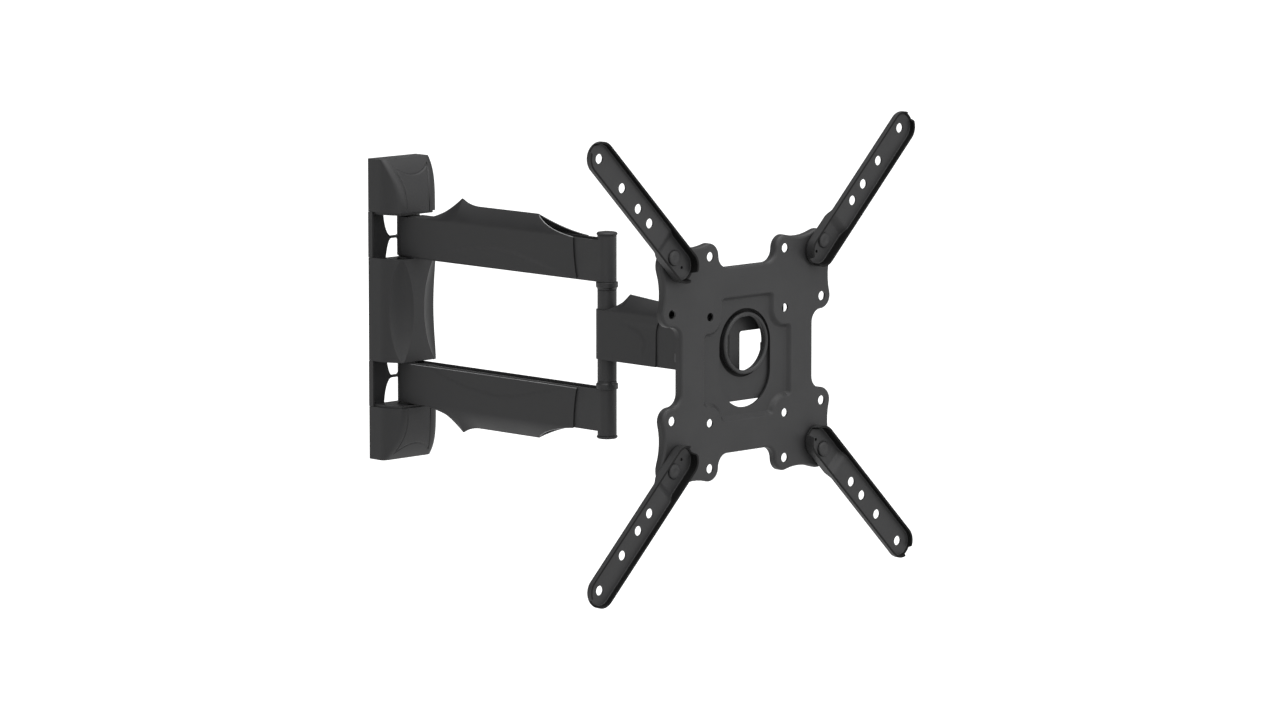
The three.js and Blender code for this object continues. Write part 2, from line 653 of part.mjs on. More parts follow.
// A window with rounded corners, drawn from the front
function roundedWindow(left, right, high) {
  const radius = SWIVEL_WINDOW_CORNER;
  const shape = new THREE.Shape();
  shape.moveTo(left + radius, -high);
  shape.absarc(right - radius, radius - high, radius, -Math.PI / 2, 0, false);
  shape.absarc(right - radius, high - radius, radius, 0, Math.PI / 2, false);
  shape.absarc(left + radius, high - radius, radius, Math.PI / 2, Math.PI, false);
  shape.absarc(left + radius, radius - high, radius, Math.PI, 1.5 * Math.PI, false);
  shape.closePath();
  return shape;
}

// Side view of a cheek: straight where it leaves the sheet at front, round about the tilt bolt
function cheekSide(front, high) {
  const shape = new THREE.Shape();
  shape.moveTo(front, -high);
  shape.lineTo(front + CHEEK_SHOULDER, -high);
  shape.lineTo(TILT_Y + TILT_CHEEK_REACH, -TILT_CHEEK_REACH);
  shape.lineTo(TILT_Y + TILT_CHEEK_REACH, TILT_CHEEK_REACH);
  shape.lineTo(front + CHEEK_SHOULDER, high);
  shape.lineTo(front, high);
  shape.closePath();
  return shape;
}

function headPin() {
  const [above, below] = swivelEarLevels();
  const headLow = above + SWIVEL_SHEET + GAP;
  return uprightBolt(HEAD_Y, HEAD_PIN_RADIUS, below - HEAD_BOLT.tail, headLow, HEAD_BOLT);
}

function headNut() {
  const below = swivelEarLevels()[1];
  return uprightNut(HEAD_Y, HEAD_PIN_RADIUS, below - GAP, HEAD_BOLT);
}

function headWasher(low) {
  return ringAt(HEAD_Y, BARREL_RADIUS + 2, HEAD_PIN_RADIUS + GAP, low, low + HEAD_WASHER);
}

// ---------------------------------------------------------------- tilt head
function tiltBracket() {
  const half = SWIVEL_HALF_WIDTH + GAP + TILT_SHEET;
  const back = TILT_FRONT + TILT_SHEET;
  const face = rectangle(-half, TILT_PLATE_LOW, half, TILT_PLATE_HIGH);
  let body = outward(face, back, TILT_FRONT)
    .add(outward(disc(0, RING_Z, RING_OUTER), back, RING_FRONT, FINE_STEPS));
  for (const side of [1, -1]) {
    const inner = side > 0 ? half - TILT_SHEET : -half;
    body = body.add(across(cheekSide(TILT_FRONT + GAP, TILT_CHEEK_HALF_HEIGHT), inner, inner + TILT_SHEET));
  }
  const boltRoom = across(disc(TILT_Y, 0, TILT_BOLT_RADIUS + GAP), -half - PAST, half + PAST);
  return body
    .subtract(outward(disc(0, RING_Z, RING_INNER), back + PAST, RING_FRONT - PAST, FINE_STEPS))
    .subtract(outward(innerHoles(RIVET_HEAD), back + PAST, TILT_FRONT - PAST))
    .subtract(boltRoom);
}

function innerHoles(radius) {
  const places = [];
  for (const z of [INNER_HOLE_HIGH, INNER_HOLE_LOW]) {
    for (const x of [TAB_NEAR, -TAB_NEAR]) {
      places.push(disc(x, z, radius));
    }
  }
  return places;
}

// The right-hand one of two short bolts that the head tilts on, its head outside
function tiltBolt() {
  const outer = SWIVEL_HALF_WIDTH + 2 * GAP + TILT_SHEET;
  const inner = SWIVEL_HALF_WIDTH - SWIVEL_SHEET - TILT_BOLT.tail;
  return across(disc(TILT_Y, 0, TILT_BOLT_RADIUS), inner, outer + TILT_BOLT.head / 2)
    .add(across(hexagon(TILT_Y, 0, TILT_BOLT.hex), outer, outer + TILT_BOLT.head));
}

function tiltNut() {
  const shape = hexagon(TILT_Y, 0, TILT_BOLT.hex);
  shape.holes.push(disc(TILT_Y, 0, TILT_BOLT_RADIUS + GAP));
  const outer = SWIVEL_HALF_WIDTH - SWIVEL_SHEET - GAP;
  return across(shape, outer - TILT_BOLT.nut, outer);
}

// ---------------------------------------------------------------- screen plate
// Centre of a circle of the given radius that touches circles a and b from outside, on the far side
function touching(a, b, radius) {
  const reachA = a.radius + radius;
  const reachB = b.radius + radius;
  const dx = b.x - a.x;
  const dy = b.y - a.y;
  const span = Math.hypot(dx, dy);
  const along = (reachA * reachA - reachB * reachB + span * span) / (2 * span);
  const off = Math.sqrt(reachA * reachA - along * along);
  return {
    x: a.x + (along * dx - off * dy) / span,
    y: a.y + (along * dy + off * dx) / span,
    radius,
  };
}

// Outline of the screen plate, drawn in by inset: on each side a fillet, a tab, a shallow dip,
// the corner, and the same again the other way round
function plateOutline(inset) {
  const side = PLATE_SIDE - inset;
  const tab = { x: TAB_NEAR, y: TAB_FAR, radius: TAB_RADIUS - inset };
  const corner = { x: CORNER_CENTRE, y: CORNER_CENTRE, radius: CORNER_RADIUS - inset };
  const dip = touching(tab, corner, DIP_RADIUS + inset);
  const filletRise = FILLET_RADIUS + inset;
  const filletY = side + filletRise;
  const filletReach = tab.radius + filletRise;
  const filletX = tab.x - Math.sqrt(filletReach * filletReach - (filletY - tab.y) ** 2);
  const fillet = { x: filletX, y: filletY, radius: filletRise };
  const angle = (from, to) => Math.atan2(to.y - from.y, to.x - from.x);
  const quarter = [
    { ...fillet, from: -Math.PI / 2, to: angle(fillet, tab), clockwise: false },
    { ...tab, from: angle(tab, fillet), to: angle(tab, dip), clockwise: true },
    { ...dip, from: angle(dip, tab), to: angle(dip, corner), clockwise: false },
    { ...corner, from: angle(corner, dip), to: Math.PI / 4, clockwise: true },
  ];
  const mirrored = quarter.map((arc) => ({
    x: arc.y,
    y: arc.x,
    radius: arc.radius,
    from: Math.PI / 2 - arc.to,
    to: Math.PI / 2 - arc.from,
    clockwise: arc.clockwise,
  })).reverse();
  const shape = new THREE.Shape();
  for (let turn = 0; turn < 4; turn += 1) {
    const spin = -turn * Math.PI / 2;
    for (const arc of quarter.concat(mirrored)) {
      const x = arc.x * Math.cos(spin) - arc.y * Math.sin(spin);
      const y = arc.x * Math.sin(spin) + arc.y * Math.cos(spin) + PLATE_CENTRE_Z;
      shape.absarc(x, y, arc.radius, arc.from + spin, arc.to + spin, arc.clockwise);
    }
  }
  shape.closePath();
  return shape;
}

// Racetrack-shaped cable opening
function openingOutline() {
  const radius = OPENING_RADIUS;
  const shape = new THREE.Shape();
  shape.moveTo(radius, PLATE_CENTRE_Z - OPENING_HALF_STRAIGHT);
  shape.absarc(0, PLATE_CENTRE_Z + OPENING_HALF_STRAIGHT, radius, 0, Math.PI, false);
  shape.absarc(0, PLATE_CENTRE_Z - OPENING_HALF_STRAIGHT, radius, Math.PI, 2 * Math.PI, false);
  shape.closePath();
  return shape;
}

// The sunk middle panel: a square with a round island kept around each inner hole
function recess(yBack, yFront, grow) {
  const half = RECESS_HALF + grow;
  const square = rectangle(-half, RECESS_CENTRE_Z - half, half, RECESS_CENTRE_Z + half);
  let body = outward(square, yBack, yFront);
  for (const z of [INNER_HOLE_HIGH, INNER_HOLE_LOW]) {
    for (const side of [1, -1]) {
      const edge = z > 0 ? RECESS_CENTRE_Z + half : RECESS_CENTRE_Z - half;
      const reach = ISLAND_RADIUS - grow;
      const corner = rectangle(
        side * (TAB_NEAR - reach), Math.min(z, edge + Math.sign(z) * PAST),
        side * (half + PAST), Math.max(z, edge + Math.sign(z) * PAST),
      );
      const shoulder = rectangle(side * TAB_NEAR, z - reach, side * (half + PAST), z + reach);
      const island = disc(side * TAB_NEAR, z, reach);
      for (const cut of [corner, shoulder, island]) {
        body = body.subtract(outward(cut, yBack + PAST, yFront - PAST));
      }
    }
  }
  return body;
}

function plateHoles() {
  const holes = innerHoles(INNER_HOLE_RADIUS);
  for (const sideX of [1, -1]) {
    for (const sideZ of [1, -1]) {
      holes.push(disc(sideX * TAB_NEAR, PLATE_CENTRE_Z + sideZ * TAB_FAR, TAB_HOLE_RADIUS));
      holes.push(disc(sideX * TAB_FAR, PLATE_CENTRE_Z + sideZ * TAB_NEAR, TAB_HOLE_RADIUS));
      holes.push(disc(sideX * ARM_PIVOT, sideZ * ARM_PIVOT, RIVET_RADIUS + GAP));
    }
  }
  return holes;
}

function screenPlate() {
  const back = PLATE_FRONT + PLATE_RIM;
  const skinBack = PLATE_FRONT + PLATE_SHEET;
  const shell = outward(plateOutline(0), back, PLATE_FRONT, COARSE_STEPS)
    .subtract(outward(plateOutline(PLATE_SHEET), back + PAST, skinBack, COARSE_STEPS));
  return shell
    .add(recess(skinBack + RECESS_DEPTH, PLATE_FRONT + PAST, PLATE_SHEET))
    .subtract(recess(PLATE_FRONT + RECESS_DEPTH, PLATE_FRONT - PAST, 0))
    .subtract(outward(openingOutline(), back + PAST, PLATE_FRONT - PAST))
    .subtract(outward(plateHoles(), back + PAST, PLATE_FRONT - PAST));
}

// The rivet that an extension arm turns on, at the origin of X and Z
function armRivet() {
  const floor = ARM_ROOT_BACK - ARM_SHEET;
  const behind = PLATE_FRONT + PLATE_SHEET + GAP;
  return outward(disc(0, 0, RIVET_RADIUS), behind + PAST, floor - PAST)
    .add(outward(disc(0, 0, RIVET_HEAD), floor - GAP, floor - GAP - RIVET_HEAD_HEIGHT))
    .add(outward(disc(0, 0, RIVET_TAIL), behind + RIVET_TAIL_HEIGHT, behind));
}

// One extension arm pointing along +X in the front view, its pivot at the origin of X and Z
function extensionArm() {
  const deck = ARM_BACK - ARM_SHEET;
  const rootDeck = ARM_ROOT_BACK - ARM_SHEET;
  const outer = armOutline(ARM_HALF_WIDTH);
  const inner = armOutline(ARM_HALF_WIDTH - ARM_SHEET);
  const step = rectangle(ARM_STEP, -2 * ARM_HALF_WIDTH, 2 * ARM_TIP, 2 * ARM_HALF_WIDTH);
  const raised = rectangle(ARM_STEP - ARM_SHEET, -2 * ARM_HALF_WIDTH, 2 * ARM_TIP, 2 * ARM_HALF_WIDTH);
  const tipGap = rectangle(ARM_TIP, -RIM_GAP_HALF, 2 * ARM_TIP, RIM_GAP_HALF);
  const rootGap = rectangle(-ARM_TIP, -RIM_GAP_HALF, -ARM_ROOT, RIM_GAP_HALF);
  const pocket = outward(inner, rootDeck, ARM_FRONT - PAST)
    .subtract(outward(raised, ARM_ROOT_BACK + PAST, deck));
  const holes = ARM_HOLES.map((reach) => disc(reach, 0, ARM_HOLE_RADIUS));
  holes.push(disc(-DETENT, 0, DETENT_RADIUS));
  holes.push(disc(0, 0, RIVET_RADIUS + GAP));
  return outward(outer, ARM_ROOT_BACK, ARM_FRONT)
    .subtract(outward(step, ARM_ROOT_BACK + PAST, ARM_BACK))
    .subtract(pocket)
    .subtract(outward(tipGap, deck, ARM_FRONT - PAST))
    .subtract(outward(rootGap, rootDeck, ARM_FRONT - PAST))
    .subtract(outward(holes, ARM_ROOT_BACK + PAST, ARM_FRONT - PAST));
}

function armOutline(radius) {
  const shape = new THREE.Shape();
  shape.moveTo(ARM_TIP, -radius);
  shape.absarc(ARM_TIP, 0, radius, -Math.PI / 2, Math.PI / 2, false);
  shape.absarc(-ARM_ROOT, 0, radius, Math.PI / 2, 1.5 * Math.PI, false);
  shape.closePath();
  return shape;
}

// ---------------------------------------------------------------- assembly
const mount = new THREE.Group();

const bracket = new THREE.Group();
bracket.add(mesh('wall_plate', wallPlate(), powderCoat));
bracket.add(mesh('top_cap', topCap(), plastic));
bracket.add(mesh('middle_cover', middleCover(), plastic));
bracket.add(mesh('wall_pin_upper', wallPin(), darkSteel));
bracket.add(mesh('wall_nut_upper', wallNut(), darkSteel));
bracket.add(mesh('wall_washer_upper_1', wallWasher(ARM_HIGH + 2 * GAP), nylon));
bracket.add(mesh('wall_washer_upper_2', wallWasher(ARM_LOW - GAP - WASHER_THICKNESS), nylon));

const mainArms = new THREE.Group();
mainArms.add(mesh('upper_arm', mainArm(), powderCoat));
mainArms.add(mesh('upper_arm_cover', armCover(), plastic));
mainArms.add(mesh('wall_bush_upper', wallBush(), nylon));
mainArms.add(mesh('elbow_shaft', elbowShaft(), darkSteel));
mainArms.add(mesh('post_cap_top', postCap(), plastic));
mainArms.add(mesh('elbow_collar_upper', collar(), nylon));

// The lower half is the upper half turned over about the Y axis
const lowerHalf = new THREE.Group();
lowerHalf.rotation.y = Math.PI;
lowerHalf.add(mesh('bottom_cap', topCap(), plastic));
lowerHalf.add(mesh('wall_pin_lower', wallPin(), darkSteel));
lowerHalf.add(mesh('wall_nut_lower', wallNut(), darkSteel));
lowerHalf.add(mesh('wall_washer_lower_1', wallWasher(ARM_LOW - GAP - WASHER_THICKNESS), nylon));
lowerHalf.add(mesh('wall_washer_lower_2', wallWasher(ARM_HIGH + 2 * GAP), nylon));
lowerHalf.add(mesh('lower_arm', mainArm(), powderCoat));
lowerHalf.add(mesh('lower_arm_cover', armCover(), plastic));
lowerHalf.add(mesh('wall_bush_lower', wallBush(), nylon));
lowerHalf.add(mesh('post_cap_bottom', postCap(), plastic));
lowerHalf.add(mesh('elbow_collar_lower', collar(), nylon));

const forearmGroup = new THREE.Group();
forearmGroup.add(mesh('forearm', forearm(), powderCoat));
forearmGroup.add(mesh('forearm_cover', forearmCover(), plastic));

const head = new THREE.Group();
head.add(mesh('swivel_bracket', swivelBracket(), powderCoat));
head.add(mesh('head_pin', headPin(), darkSteel));
head.add(mesh('head_nut', headNut(), darkSteel));
head.add(mesh('head_washer_upper', headWasher(FOREARM_HIGH + GAP), nylon));
head.add(mesh('head_washer_lower', headWasher(FOREARM_LOW - GAP - HEAD_WASHER), nylon));
head.add(mesh('tilt_bracket', tiltBracket(), powderCoat));
head.add(mesh('screen_plate', screenPlate(), powderCoat));

// The right tilt bolt and its nut, and the left ones turned over about the Y axis
for (const side of ['right', 'left']) {
  const pair = new THREE.Group();
  pair.rotation.y = side === 'right' ? 0 : Math.PI;
  pair.add(mesh(`tilt_bolt_${side}`, tiltBolt(), darkSteel));
  pair.add(mesh(`tilt_nut_${side}`, tiltNut(), darkSteel));
  head.add(pair);
}

// Extension arms: each points outward along its diagonal of the front view
const diagonals = [
  { name: 'upper_right', x: 1, z: 1 },
  { name: 'upper_left', x: -1, z: 1 },
  { name: 'lower_left', x: -1, z: -1 },
  { name: 'lower_right', x: 1, z: -1 },
];
for (const { name, x, z } of diagonals) {
  const diagonal = new THREE.Group();
  diagonal.position.set(x * ARM_PIVOT, 0, z * ARM_PIVOT);
  diagonal.rotation.y = -Math.atan2(z, x);
  diagonal.add(mesh(`extension_arm_${name}`, extensionArm(), powderCoat));
  diagonal.add(mesh(`arm_rivet_${name}`, armRivet(), darkSteel));
  head.add(diagonal);
}

mount.add(bracket, mainArms, lowerHalf, forearmGroup, head);

export default mount;
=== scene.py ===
"""Looks for the full motion wall mount: pressed and powder-coated steel, moulded covers, light and camera.

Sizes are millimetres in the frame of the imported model: X right, Y into the wall, Z up. Only the stage,
the lamps, the camera and the depths of bumps are in metres.
"""
import json
import math

import bmesh
import bpy
from mathutils import Matrix, Vector
from mathutils.geometry import delaunay_2d_cdt


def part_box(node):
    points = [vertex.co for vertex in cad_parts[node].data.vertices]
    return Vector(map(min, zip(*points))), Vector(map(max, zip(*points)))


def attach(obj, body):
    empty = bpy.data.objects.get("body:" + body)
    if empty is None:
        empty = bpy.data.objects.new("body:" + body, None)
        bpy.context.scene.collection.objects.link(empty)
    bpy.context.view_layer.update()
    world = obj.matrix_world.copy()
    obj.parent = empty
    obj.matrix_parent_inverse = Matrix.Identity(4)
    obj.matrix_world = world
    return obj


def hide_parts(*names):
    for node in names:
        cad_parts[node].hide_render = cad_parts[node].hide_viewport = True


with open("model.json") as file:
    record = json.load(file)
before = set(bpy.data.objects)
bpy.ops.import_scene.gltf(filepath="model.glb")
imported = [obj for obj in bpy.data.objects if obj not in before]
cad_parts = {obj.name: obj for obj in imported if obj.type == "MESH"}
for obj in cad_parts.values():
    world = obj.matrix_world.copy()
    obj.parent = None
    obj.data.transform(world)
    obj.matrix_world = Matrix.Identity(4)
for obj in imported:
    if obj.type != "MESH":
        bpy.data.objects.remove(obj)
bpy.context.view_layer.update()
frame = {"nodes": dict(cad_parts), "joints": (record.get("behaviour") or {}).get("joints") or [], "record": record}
MM = 0.001


# ---------------------------------------------------------------- sizes read from the frame
def box_mm(node):
    """Lowest and highest corner of a CAD node, in millimetres."""
    low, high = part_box(node)
    return [v / MM for v in low], [v / MM for v in high]


def joint_place(name):
    """Where a joint's axis passes, in millimetres."""
    return [v / MM for v in next(j for j in frame["joints"] if j["name"] == name)["pos_m"]]


WALL_PIVOT_Y = joint_place("wall_swing")[1]
ELBOW_Y = joint_place("elbow")[1]
TILT_Y = joint_place("tilt")[1]
ARM_PIVOT = joint_place("arm_pivot_upper_right")[0]

# Bracket covers
CAP_LOW, CAP_HIGH = box_mm("top_cap")
COVER_HALF_WIDTH = CAP_HIGH[0]
COVER_BACK = CAP_HIGH[1]
COVER_FRONT = CAP_LOW[1]
CAP_BOTTOM = CAP_LOW[2]
CAP_TOP = CAP_HIGH[2]
MIDDLE_HALF = box_mm("middle_cover")[1][2]
COVER_CORNER_RADIUS = 32.6
COVER_STRAIGHT_DEPTH = 16.0
COVER_WALL = 2.2
CAP_END_DROP = 17.9
CAP_DROP_POWER = 2.5
CAP_SOFT_SIDE = 4.0
CAP_SOFT_FRONT = 7.0
PANEL_SIDE_X = 15.2
PANEL_SIDE_LOW = 11.5
PANEL_SIDE_CURVE = 0.0068
PANEL_TOP_Z = 134.0
PANEL_TOP_CURVE = 0.0165
PANEL_INSET = 0.5
GROOVE_HALF_WIDTH = 1.0
GROOVE_DEPTH = 0.75
SCOOP_AXIS_X = 31.9
SCOOP_AXIS_Y = -61.4
SCOOP_RADIUS = 33.5
SCOOP_SAG = 292.0
SCOOP_STRETCH = 0.985

# Main arm cover
ARM_SKIN = box_mm("upper_arm_cover")[1][0]
SKIRT_LOW = box_mm("upper_arm_cover")[0][2]
KNUCKLE_RISE = 4.6
ARM_HIGH = box_mm("upper_arm")[1][2] - KNUCKLE_RISE
ROOF = 93.6
ROOF_START = -36.0
HUMP_START = -60.6
HUMP_BEND = (-83.0, 101.5)
HUMP_PEAK_Y = -103.3
HUMP_PEAK_Z = 116.0
HUMP_ROUND = 1.9
HUMP_FALL = (-113.5, 110.4)
HUMP_FLAT_Y = -126.0
HUMP_FLAT_Z = 109.8
OUTLET_START = -211.3
OUTLET_BEND = (-236.0, 95.2)
ARM_COVER_END = -270.0
LOW_HUMP = 1.5
LOW_HUMP_FADE = 8.0
SKIRT_LEAN_START = 14.0
SKIRT_LEAN_OUT = 4.5
SKIRT_EMBOSS = (
    (-64.6, 53.4), (-90, 61.8), (-116, 68), (-138, 71.0), (-161, 72.4),
    (-185, 70.8), (-209, 66), (-240, 58.9), (-271, 50),
)
EMBOSS_HEIGHT = 0.4
SHELL = 0.75
LIP = 0.78
LIP_STEPS = 4
STATION_STEP = 1.9

# Forearm cover
FOREARM_LOW = box_mm("forearm_cover")[0][2]
FOREARM_HIGH = 25.5
CREST_START = -315.9
CREST_FOOT_RISE = 1.2
CREST_BEND = (-324.0, 30.0)
CREST_PEAK_Y = -338.0
CREST_PEAK_Z = 42.6
CREST_END_Y = -378.0
CREST_END_Z = 39.4
FOREARM_COVER_END = -383.0
SKIRT_LEAN = 20.0
SKIRT_LEAN_LOW = 8.5
POCKET_EDGE = (
    (15.9, -335.4), (13.6, -347), (10.4, -357), (6.4, -363.5), (1.3, -367.8), (-3, -368.2), (-6.6, -365.9),
)

# Screen plate
PLATE_LOW, PLATE_HIGH = box_mm("screen_plate")
PLATE_FRONT = PLATE_LOW[1]
PLATE_BACK = PLATE_HIGH[1]
PLATE_CENTRE_Z = (PLATE_LOW[2] + PLATE_HIGH[2]) / 2
PLATE_SHEET = 2.0
PLATE_BEND = 3.0
PLATE_SIDE = 88.0
TAB_FAR = 100.0
TAB_NEAR = 50.0
TAB_RADIUS = 12.4
CORNER_CENTRE = 96.0
CORNER_RADIUS = 18.5
DIP_RADIUS = 60.0
FILLET_RADIUS = 12.0
TAB_HOLE_RADIUS = 4.5
PIVOT_HOLE_RADIUS = 3.3
INNER_HOLE_RADIUS = 4.1
INNER_HOLE_HIGH = 39.8
INNER_HOLE_LOW = -60.3
RECESS_DEPTH = 4.0
RECESS_HALF_X = 58.0
RECESS_TOP = 56.0
RECESS_BOTTOM = -60.5
RECESS_RUN = 3.5
RECESS_CORNER = 1.2
RECESS_SOFT_TOP = 1.2
RECESS_SOFT_FLOOR = 0.5
ISLAND_RADIUS = 15.5
OPENING_RADIUS = 34.0
OPENING_HALF_STRAIGHT = 12.9

# Tilt bracket
TILT_LOW, TILT_HIGH = box_mm("tilt_bracket")
TILT_SHEET = 2.2
TILT_SHOULDER_Z = 33.0
TILT_SHOULDER_HALF = 55.5
TILT_FACE = -488.7
TILT_BACK = -487.5
RING_Z = 10.5
RING_BORE = 25.7
RING_BEAD = 1.9
RING_FRONT = -494.6
RING_ROOM = 32.4
RING_FLANGE = 34.0
CHEEK_HALF_HEIGHT = 30.0
CHEEK_NOSE = 8.5
CHEEK_HOLE_RADIUS = 4.3

# Extension arms
ARM_HALF_WIDTH = 15.5
ARM_ROOT = 12.0
ARM_TIP = 142.4
ARM_SHEET = 2.0
ARM_BEND = 3.0
ARM_ROOT_BACK = -496.3
ARM_BACK = -500.3
ARM_FRONT = box_mm("extension_arm_upper_right")[0][1]
STEP_START = 17.0
STEP_END = 27.0
ARM_HOLES = (50.0, 70.7, 100.0, 141.4)
ARM_HOLE_RADIUS = 4.7
DETENT = 14.0
DETENT_RADIUS = 1.5
RIM_GAP_HALF = 5.0
RIM_GAP_ROUND = 1.6
RIVET_RADIUS = 7.5
RIVET_SHANK = 3.0

# Stage, light and camera, in metres
FLOOR_Z = -0.62
FLOOR_RINGS = ((3, 0), (24, 0), (27, 0.4), (29, 1.6), (30, 5))
FLOOR_SEGMENTS = 96
SKY_FADES = (((0, -0.6, 0.8), 0.22, 3.4), ((0.95, -0.25, 0.1), 1.0, 0.25))
LAMPS = (
    ("overhead", (0.3, -0.8, 3.2), (0, -0.25, 0), 3.0, 110),
    ("front", (1.6, -4.3, 1.2), (0, -0.3, 0), 2.6, 78),
)
CAMERA_AZIMUTH = math.radians(-44.47)
CAMERA_ELEVATION = math.radians(7.862)
CAMERA_AIM = (-0.0720, -0.4247, -0.0054)
CAMERA_DISTANCE = 6.024
CAMERA_LENS = 180.28

TURNED_OVER = Matrix.Rotation(math.pi, 4, "Y")
CORNERS = {"upper_right": (1, 1), "upper_left": (-1, 1), "lower_left": (-1, -1), "lower_right": (1, -1)}


# ---------------------------------------------------------------- materials
# Nearly all of a noise texture's values lie between these
NOISE_LOW = 0.3
NOISE_HIGH = 0.7
HATCH_ANGLE = 35
HATCH_SCALE = 160


def new_material(name, colour, roughness, metallic=0.0):
    """A material with its shader, whose node tree the callers add detail to."""
    material = bpy.data.materials.new(name)
    material.use_nodes = True
    shader = material.node_tree.nodes["Principled BSDF"]
    shader.inputs["Base Color"].default_value = (*colour, 1)
    shader.inputs["Roughness"].default_value = roughness
    shader.inputs["Metallic"].default_value = metallic
    return material, shader


def noise(tree, scale, detail=4.0, roughness=0.55):
    """Solid noise over the piece's own coordinates, in features per metre."""
    place = tree.nodes.new("ShaderNodeTexCoord")
    texture = tree.nodes.new("ShaderNodeTexNoise")
    texture.inputs["Scale"].default_value = scale
    texture.inputs["Detail"].default_value = detail
    texture.inputs["Roughness"].default_value = roughness
    tree.links.new(place.outputs["Object"], texture.inputs["Vector"])
    return texture.outputs["Fac"]


def spread(tree, value, low, high):
    """Turns a noise value into numbers from low to high."""
    node = tree.nodes.new("ShaderNodeMapRange")
    node.inputs["From Min"].default_value = NOISE_LOW
    node.inputs["From Max"].default_value = NOISE_HIGH
    node.inputs["To Min"].default_value = low
    node.inputs["To Max"].default_value = high
    tree.links.new(value, node.inputs["Value"])
    return node.outputs["Result"]


def ramp(tree, value, dark, light):
    """Turns a noise value into a colour between dark and light."""
    node = tree.nodes.new("ShaderNodeValToRGB")
    node.color_ramp.elements[0].position = NOISE_LOW
    node.color_ramp.elements[0].color = (*dark, 1)
    node.color_ramp.elements[1].position = NOISE_HIGH
    node.color_ramp.elements[1].color = (*light, 1)
    tree.links.new(value, node.inputs["Fac"])
    return node.outputs["Color"]


def bump(tree, shader, height, distance, strength, below=None):
    """Adds a bump of the given depth in metres, over an earlier one if there is one."""
    node = tree.nodes.new("ShaderNodeBump")
    node.inputs["Distance"].default_value = distance
    node.inputs["Strength"].default_value = strength
    tree.links.new(height, node.inputs["Height"])
    if below:
        tree.links.new(below, node.inputs["Normal"])
    tree.links.new(node.outputs["Normal"], shader.inputs["Normal"])
    return node.outputs["Normal"]


def powder_coat():
    """Fine-textured matte black powder coat on steel."""
    material, shader = new_material("powder_coat", (0.022, 0.022, 0.023), 0.5)
    tree = material.node_tree
    shader.inputs["Specular IOR Level"].default_value = 0.22
    grain = noise(tree, 1500, 3)
    colour = ramp(tree, noise(tree, 35, 3), (0.0115, 0.0115, 0.0119), (0.0137, 0.0137, 0.0141))
    tree.links.new(colour, shader.inputs["Base Color"])
    tree.links.new(spread(tree, grain, 0.44, 0.58), shader.inputs["Roughness"])
    orange_peel = bump(tree, shader, noise(tree, 420, 2), 0.0001, 0.35)
    bump(tree, shader, grain, 0.00005, 0.5, orange_peel)
    return material


def moulded_plastic():
    """Black moulded plastic with a fine spark-eroded grain."""
    material, shader = new_material("moulded_plastic", (0.019, 0.019, 0.020), 0.5)
    tree = material.node_tree
    shader.inputs["Specular IOR Level"].default_value = 0.22
    grain = noise(tree, 2400, 2)
    flow = noise(tree, 25, 2)
    colour = ramp(tree, flow, (0.0092, 0.0092, 0.0096), (0.0111, 0.0111, 0.0115))
    tree.links.new(colour, shader.inputs["Base Color"])
    tree.links.new(spread(tree, flow, 0.46, 0.54), shader.inputs["Roughness"])
    bump(tree, shader, grain, 0.00004, 0.5)
    return material


def hatched_plastic():
    """The same plastic with the fine crossed lines of the caps' panels."""
    material = moulded_plastic()
    material.name = "hatched_plastic"
    tree = material.node_tree
    shader = tree.nodes["Principled BSDF"]
    place = tree.nodes.new("ShaderNodeTexCoord")
    heights = []
    for turn in (HATCH_ANGLE, -HATCH_ANGLE):
        mapping = tree.nodes.new("ShaderNodeMapping")
        mapping.inputs["Rotation"].default_value = (0, math.radians(turn), 0)
        wave = tree.nodes.new("ShaderNodeTexWave")
        wave.bands_direction = "X"
        wave.inputs["Scale"].default_value = HATCH_SCALE
        tree.links.new(place.outputs["Object"], mapping.inputs["Vector"])
        tree.links.new(mapping.outputs["Vector"], wave.inputs["Vector"])
        heights.append(wave.outputs["Fac"])
    both = tree.nodes.new("ShaderNodeMath")
    both.operation = "MULTIPLY"
    tree.links.new(heights[0], both.inputs[0])
    tree.links.new(heights[1], both.inputs[1])
    grain = shader.inputs["Normal"].links[0].from_socket
    bump(tree, shader, both.outputs["Value"], 0.00018, 0.35, grain)
    return material


def recoloured(material, name, specular, dark, light):
    """The material under another name, with another shine and other colours."""
    material.name = name
    shader = material.node_tree.nodes["Principled BSDF"]
    shader.inputs["Specular IOR Level"].default_value = specular
    colours = shader.inputs["Base Color"].links[0].from_node.color_ramp
    colours.elements[0].color = (*dark, 1)
    colours.elements[1].color = (*light, 1)
    return material


def zinc_steel():
    """Black zinc-plated steel of bolts, nuts, rivets and the elbow shaft."""
    material, shader = new_material("black_zinc_steel", (0.05, 0.05, 0.052), 0.38, 0.6)
    tree = material.node_tree
    cloud = noise(tree, 220, 4)
    colour = ramp(tree, cloud, (0.036, 0.036, 0.038), (0.062, 0.062, 0.064))
    tree.links.new(colour, shader.inputs["Base Color"])
    tree.links.new(spread(tree, cloud, 0.32, 0.48), shader.inputs["Roughness"])
    bump(tree, shader, noise(tree, 1800, 2), 0.00003, 0.4)
    return material


def nylon():
    """Black nylon of the washers, bushes and collars."""
    material, shader = new_material("black_nylon", (0.008, 0.008, 0.008), 0.42)
    tree = material.node_tree
    shader.inputs["Specular IOR Level"].default_value = 0.25
    cloud = noise(tree, 120, 3)
    colour = ramp(tree, cloud, (0.007, 0.007, 0.0073), (0.010, 0.010, 0.0103))
    tree.links.new(colour, shader.inputs["Base Color"])
    tree.links.new(spread(tree, cloud, 0.38, 0.5), shader.inputs["Roughness"])
    bump(tree, shader, noise(tree, 2000, 2), 0.00003, 0.3)
    return material


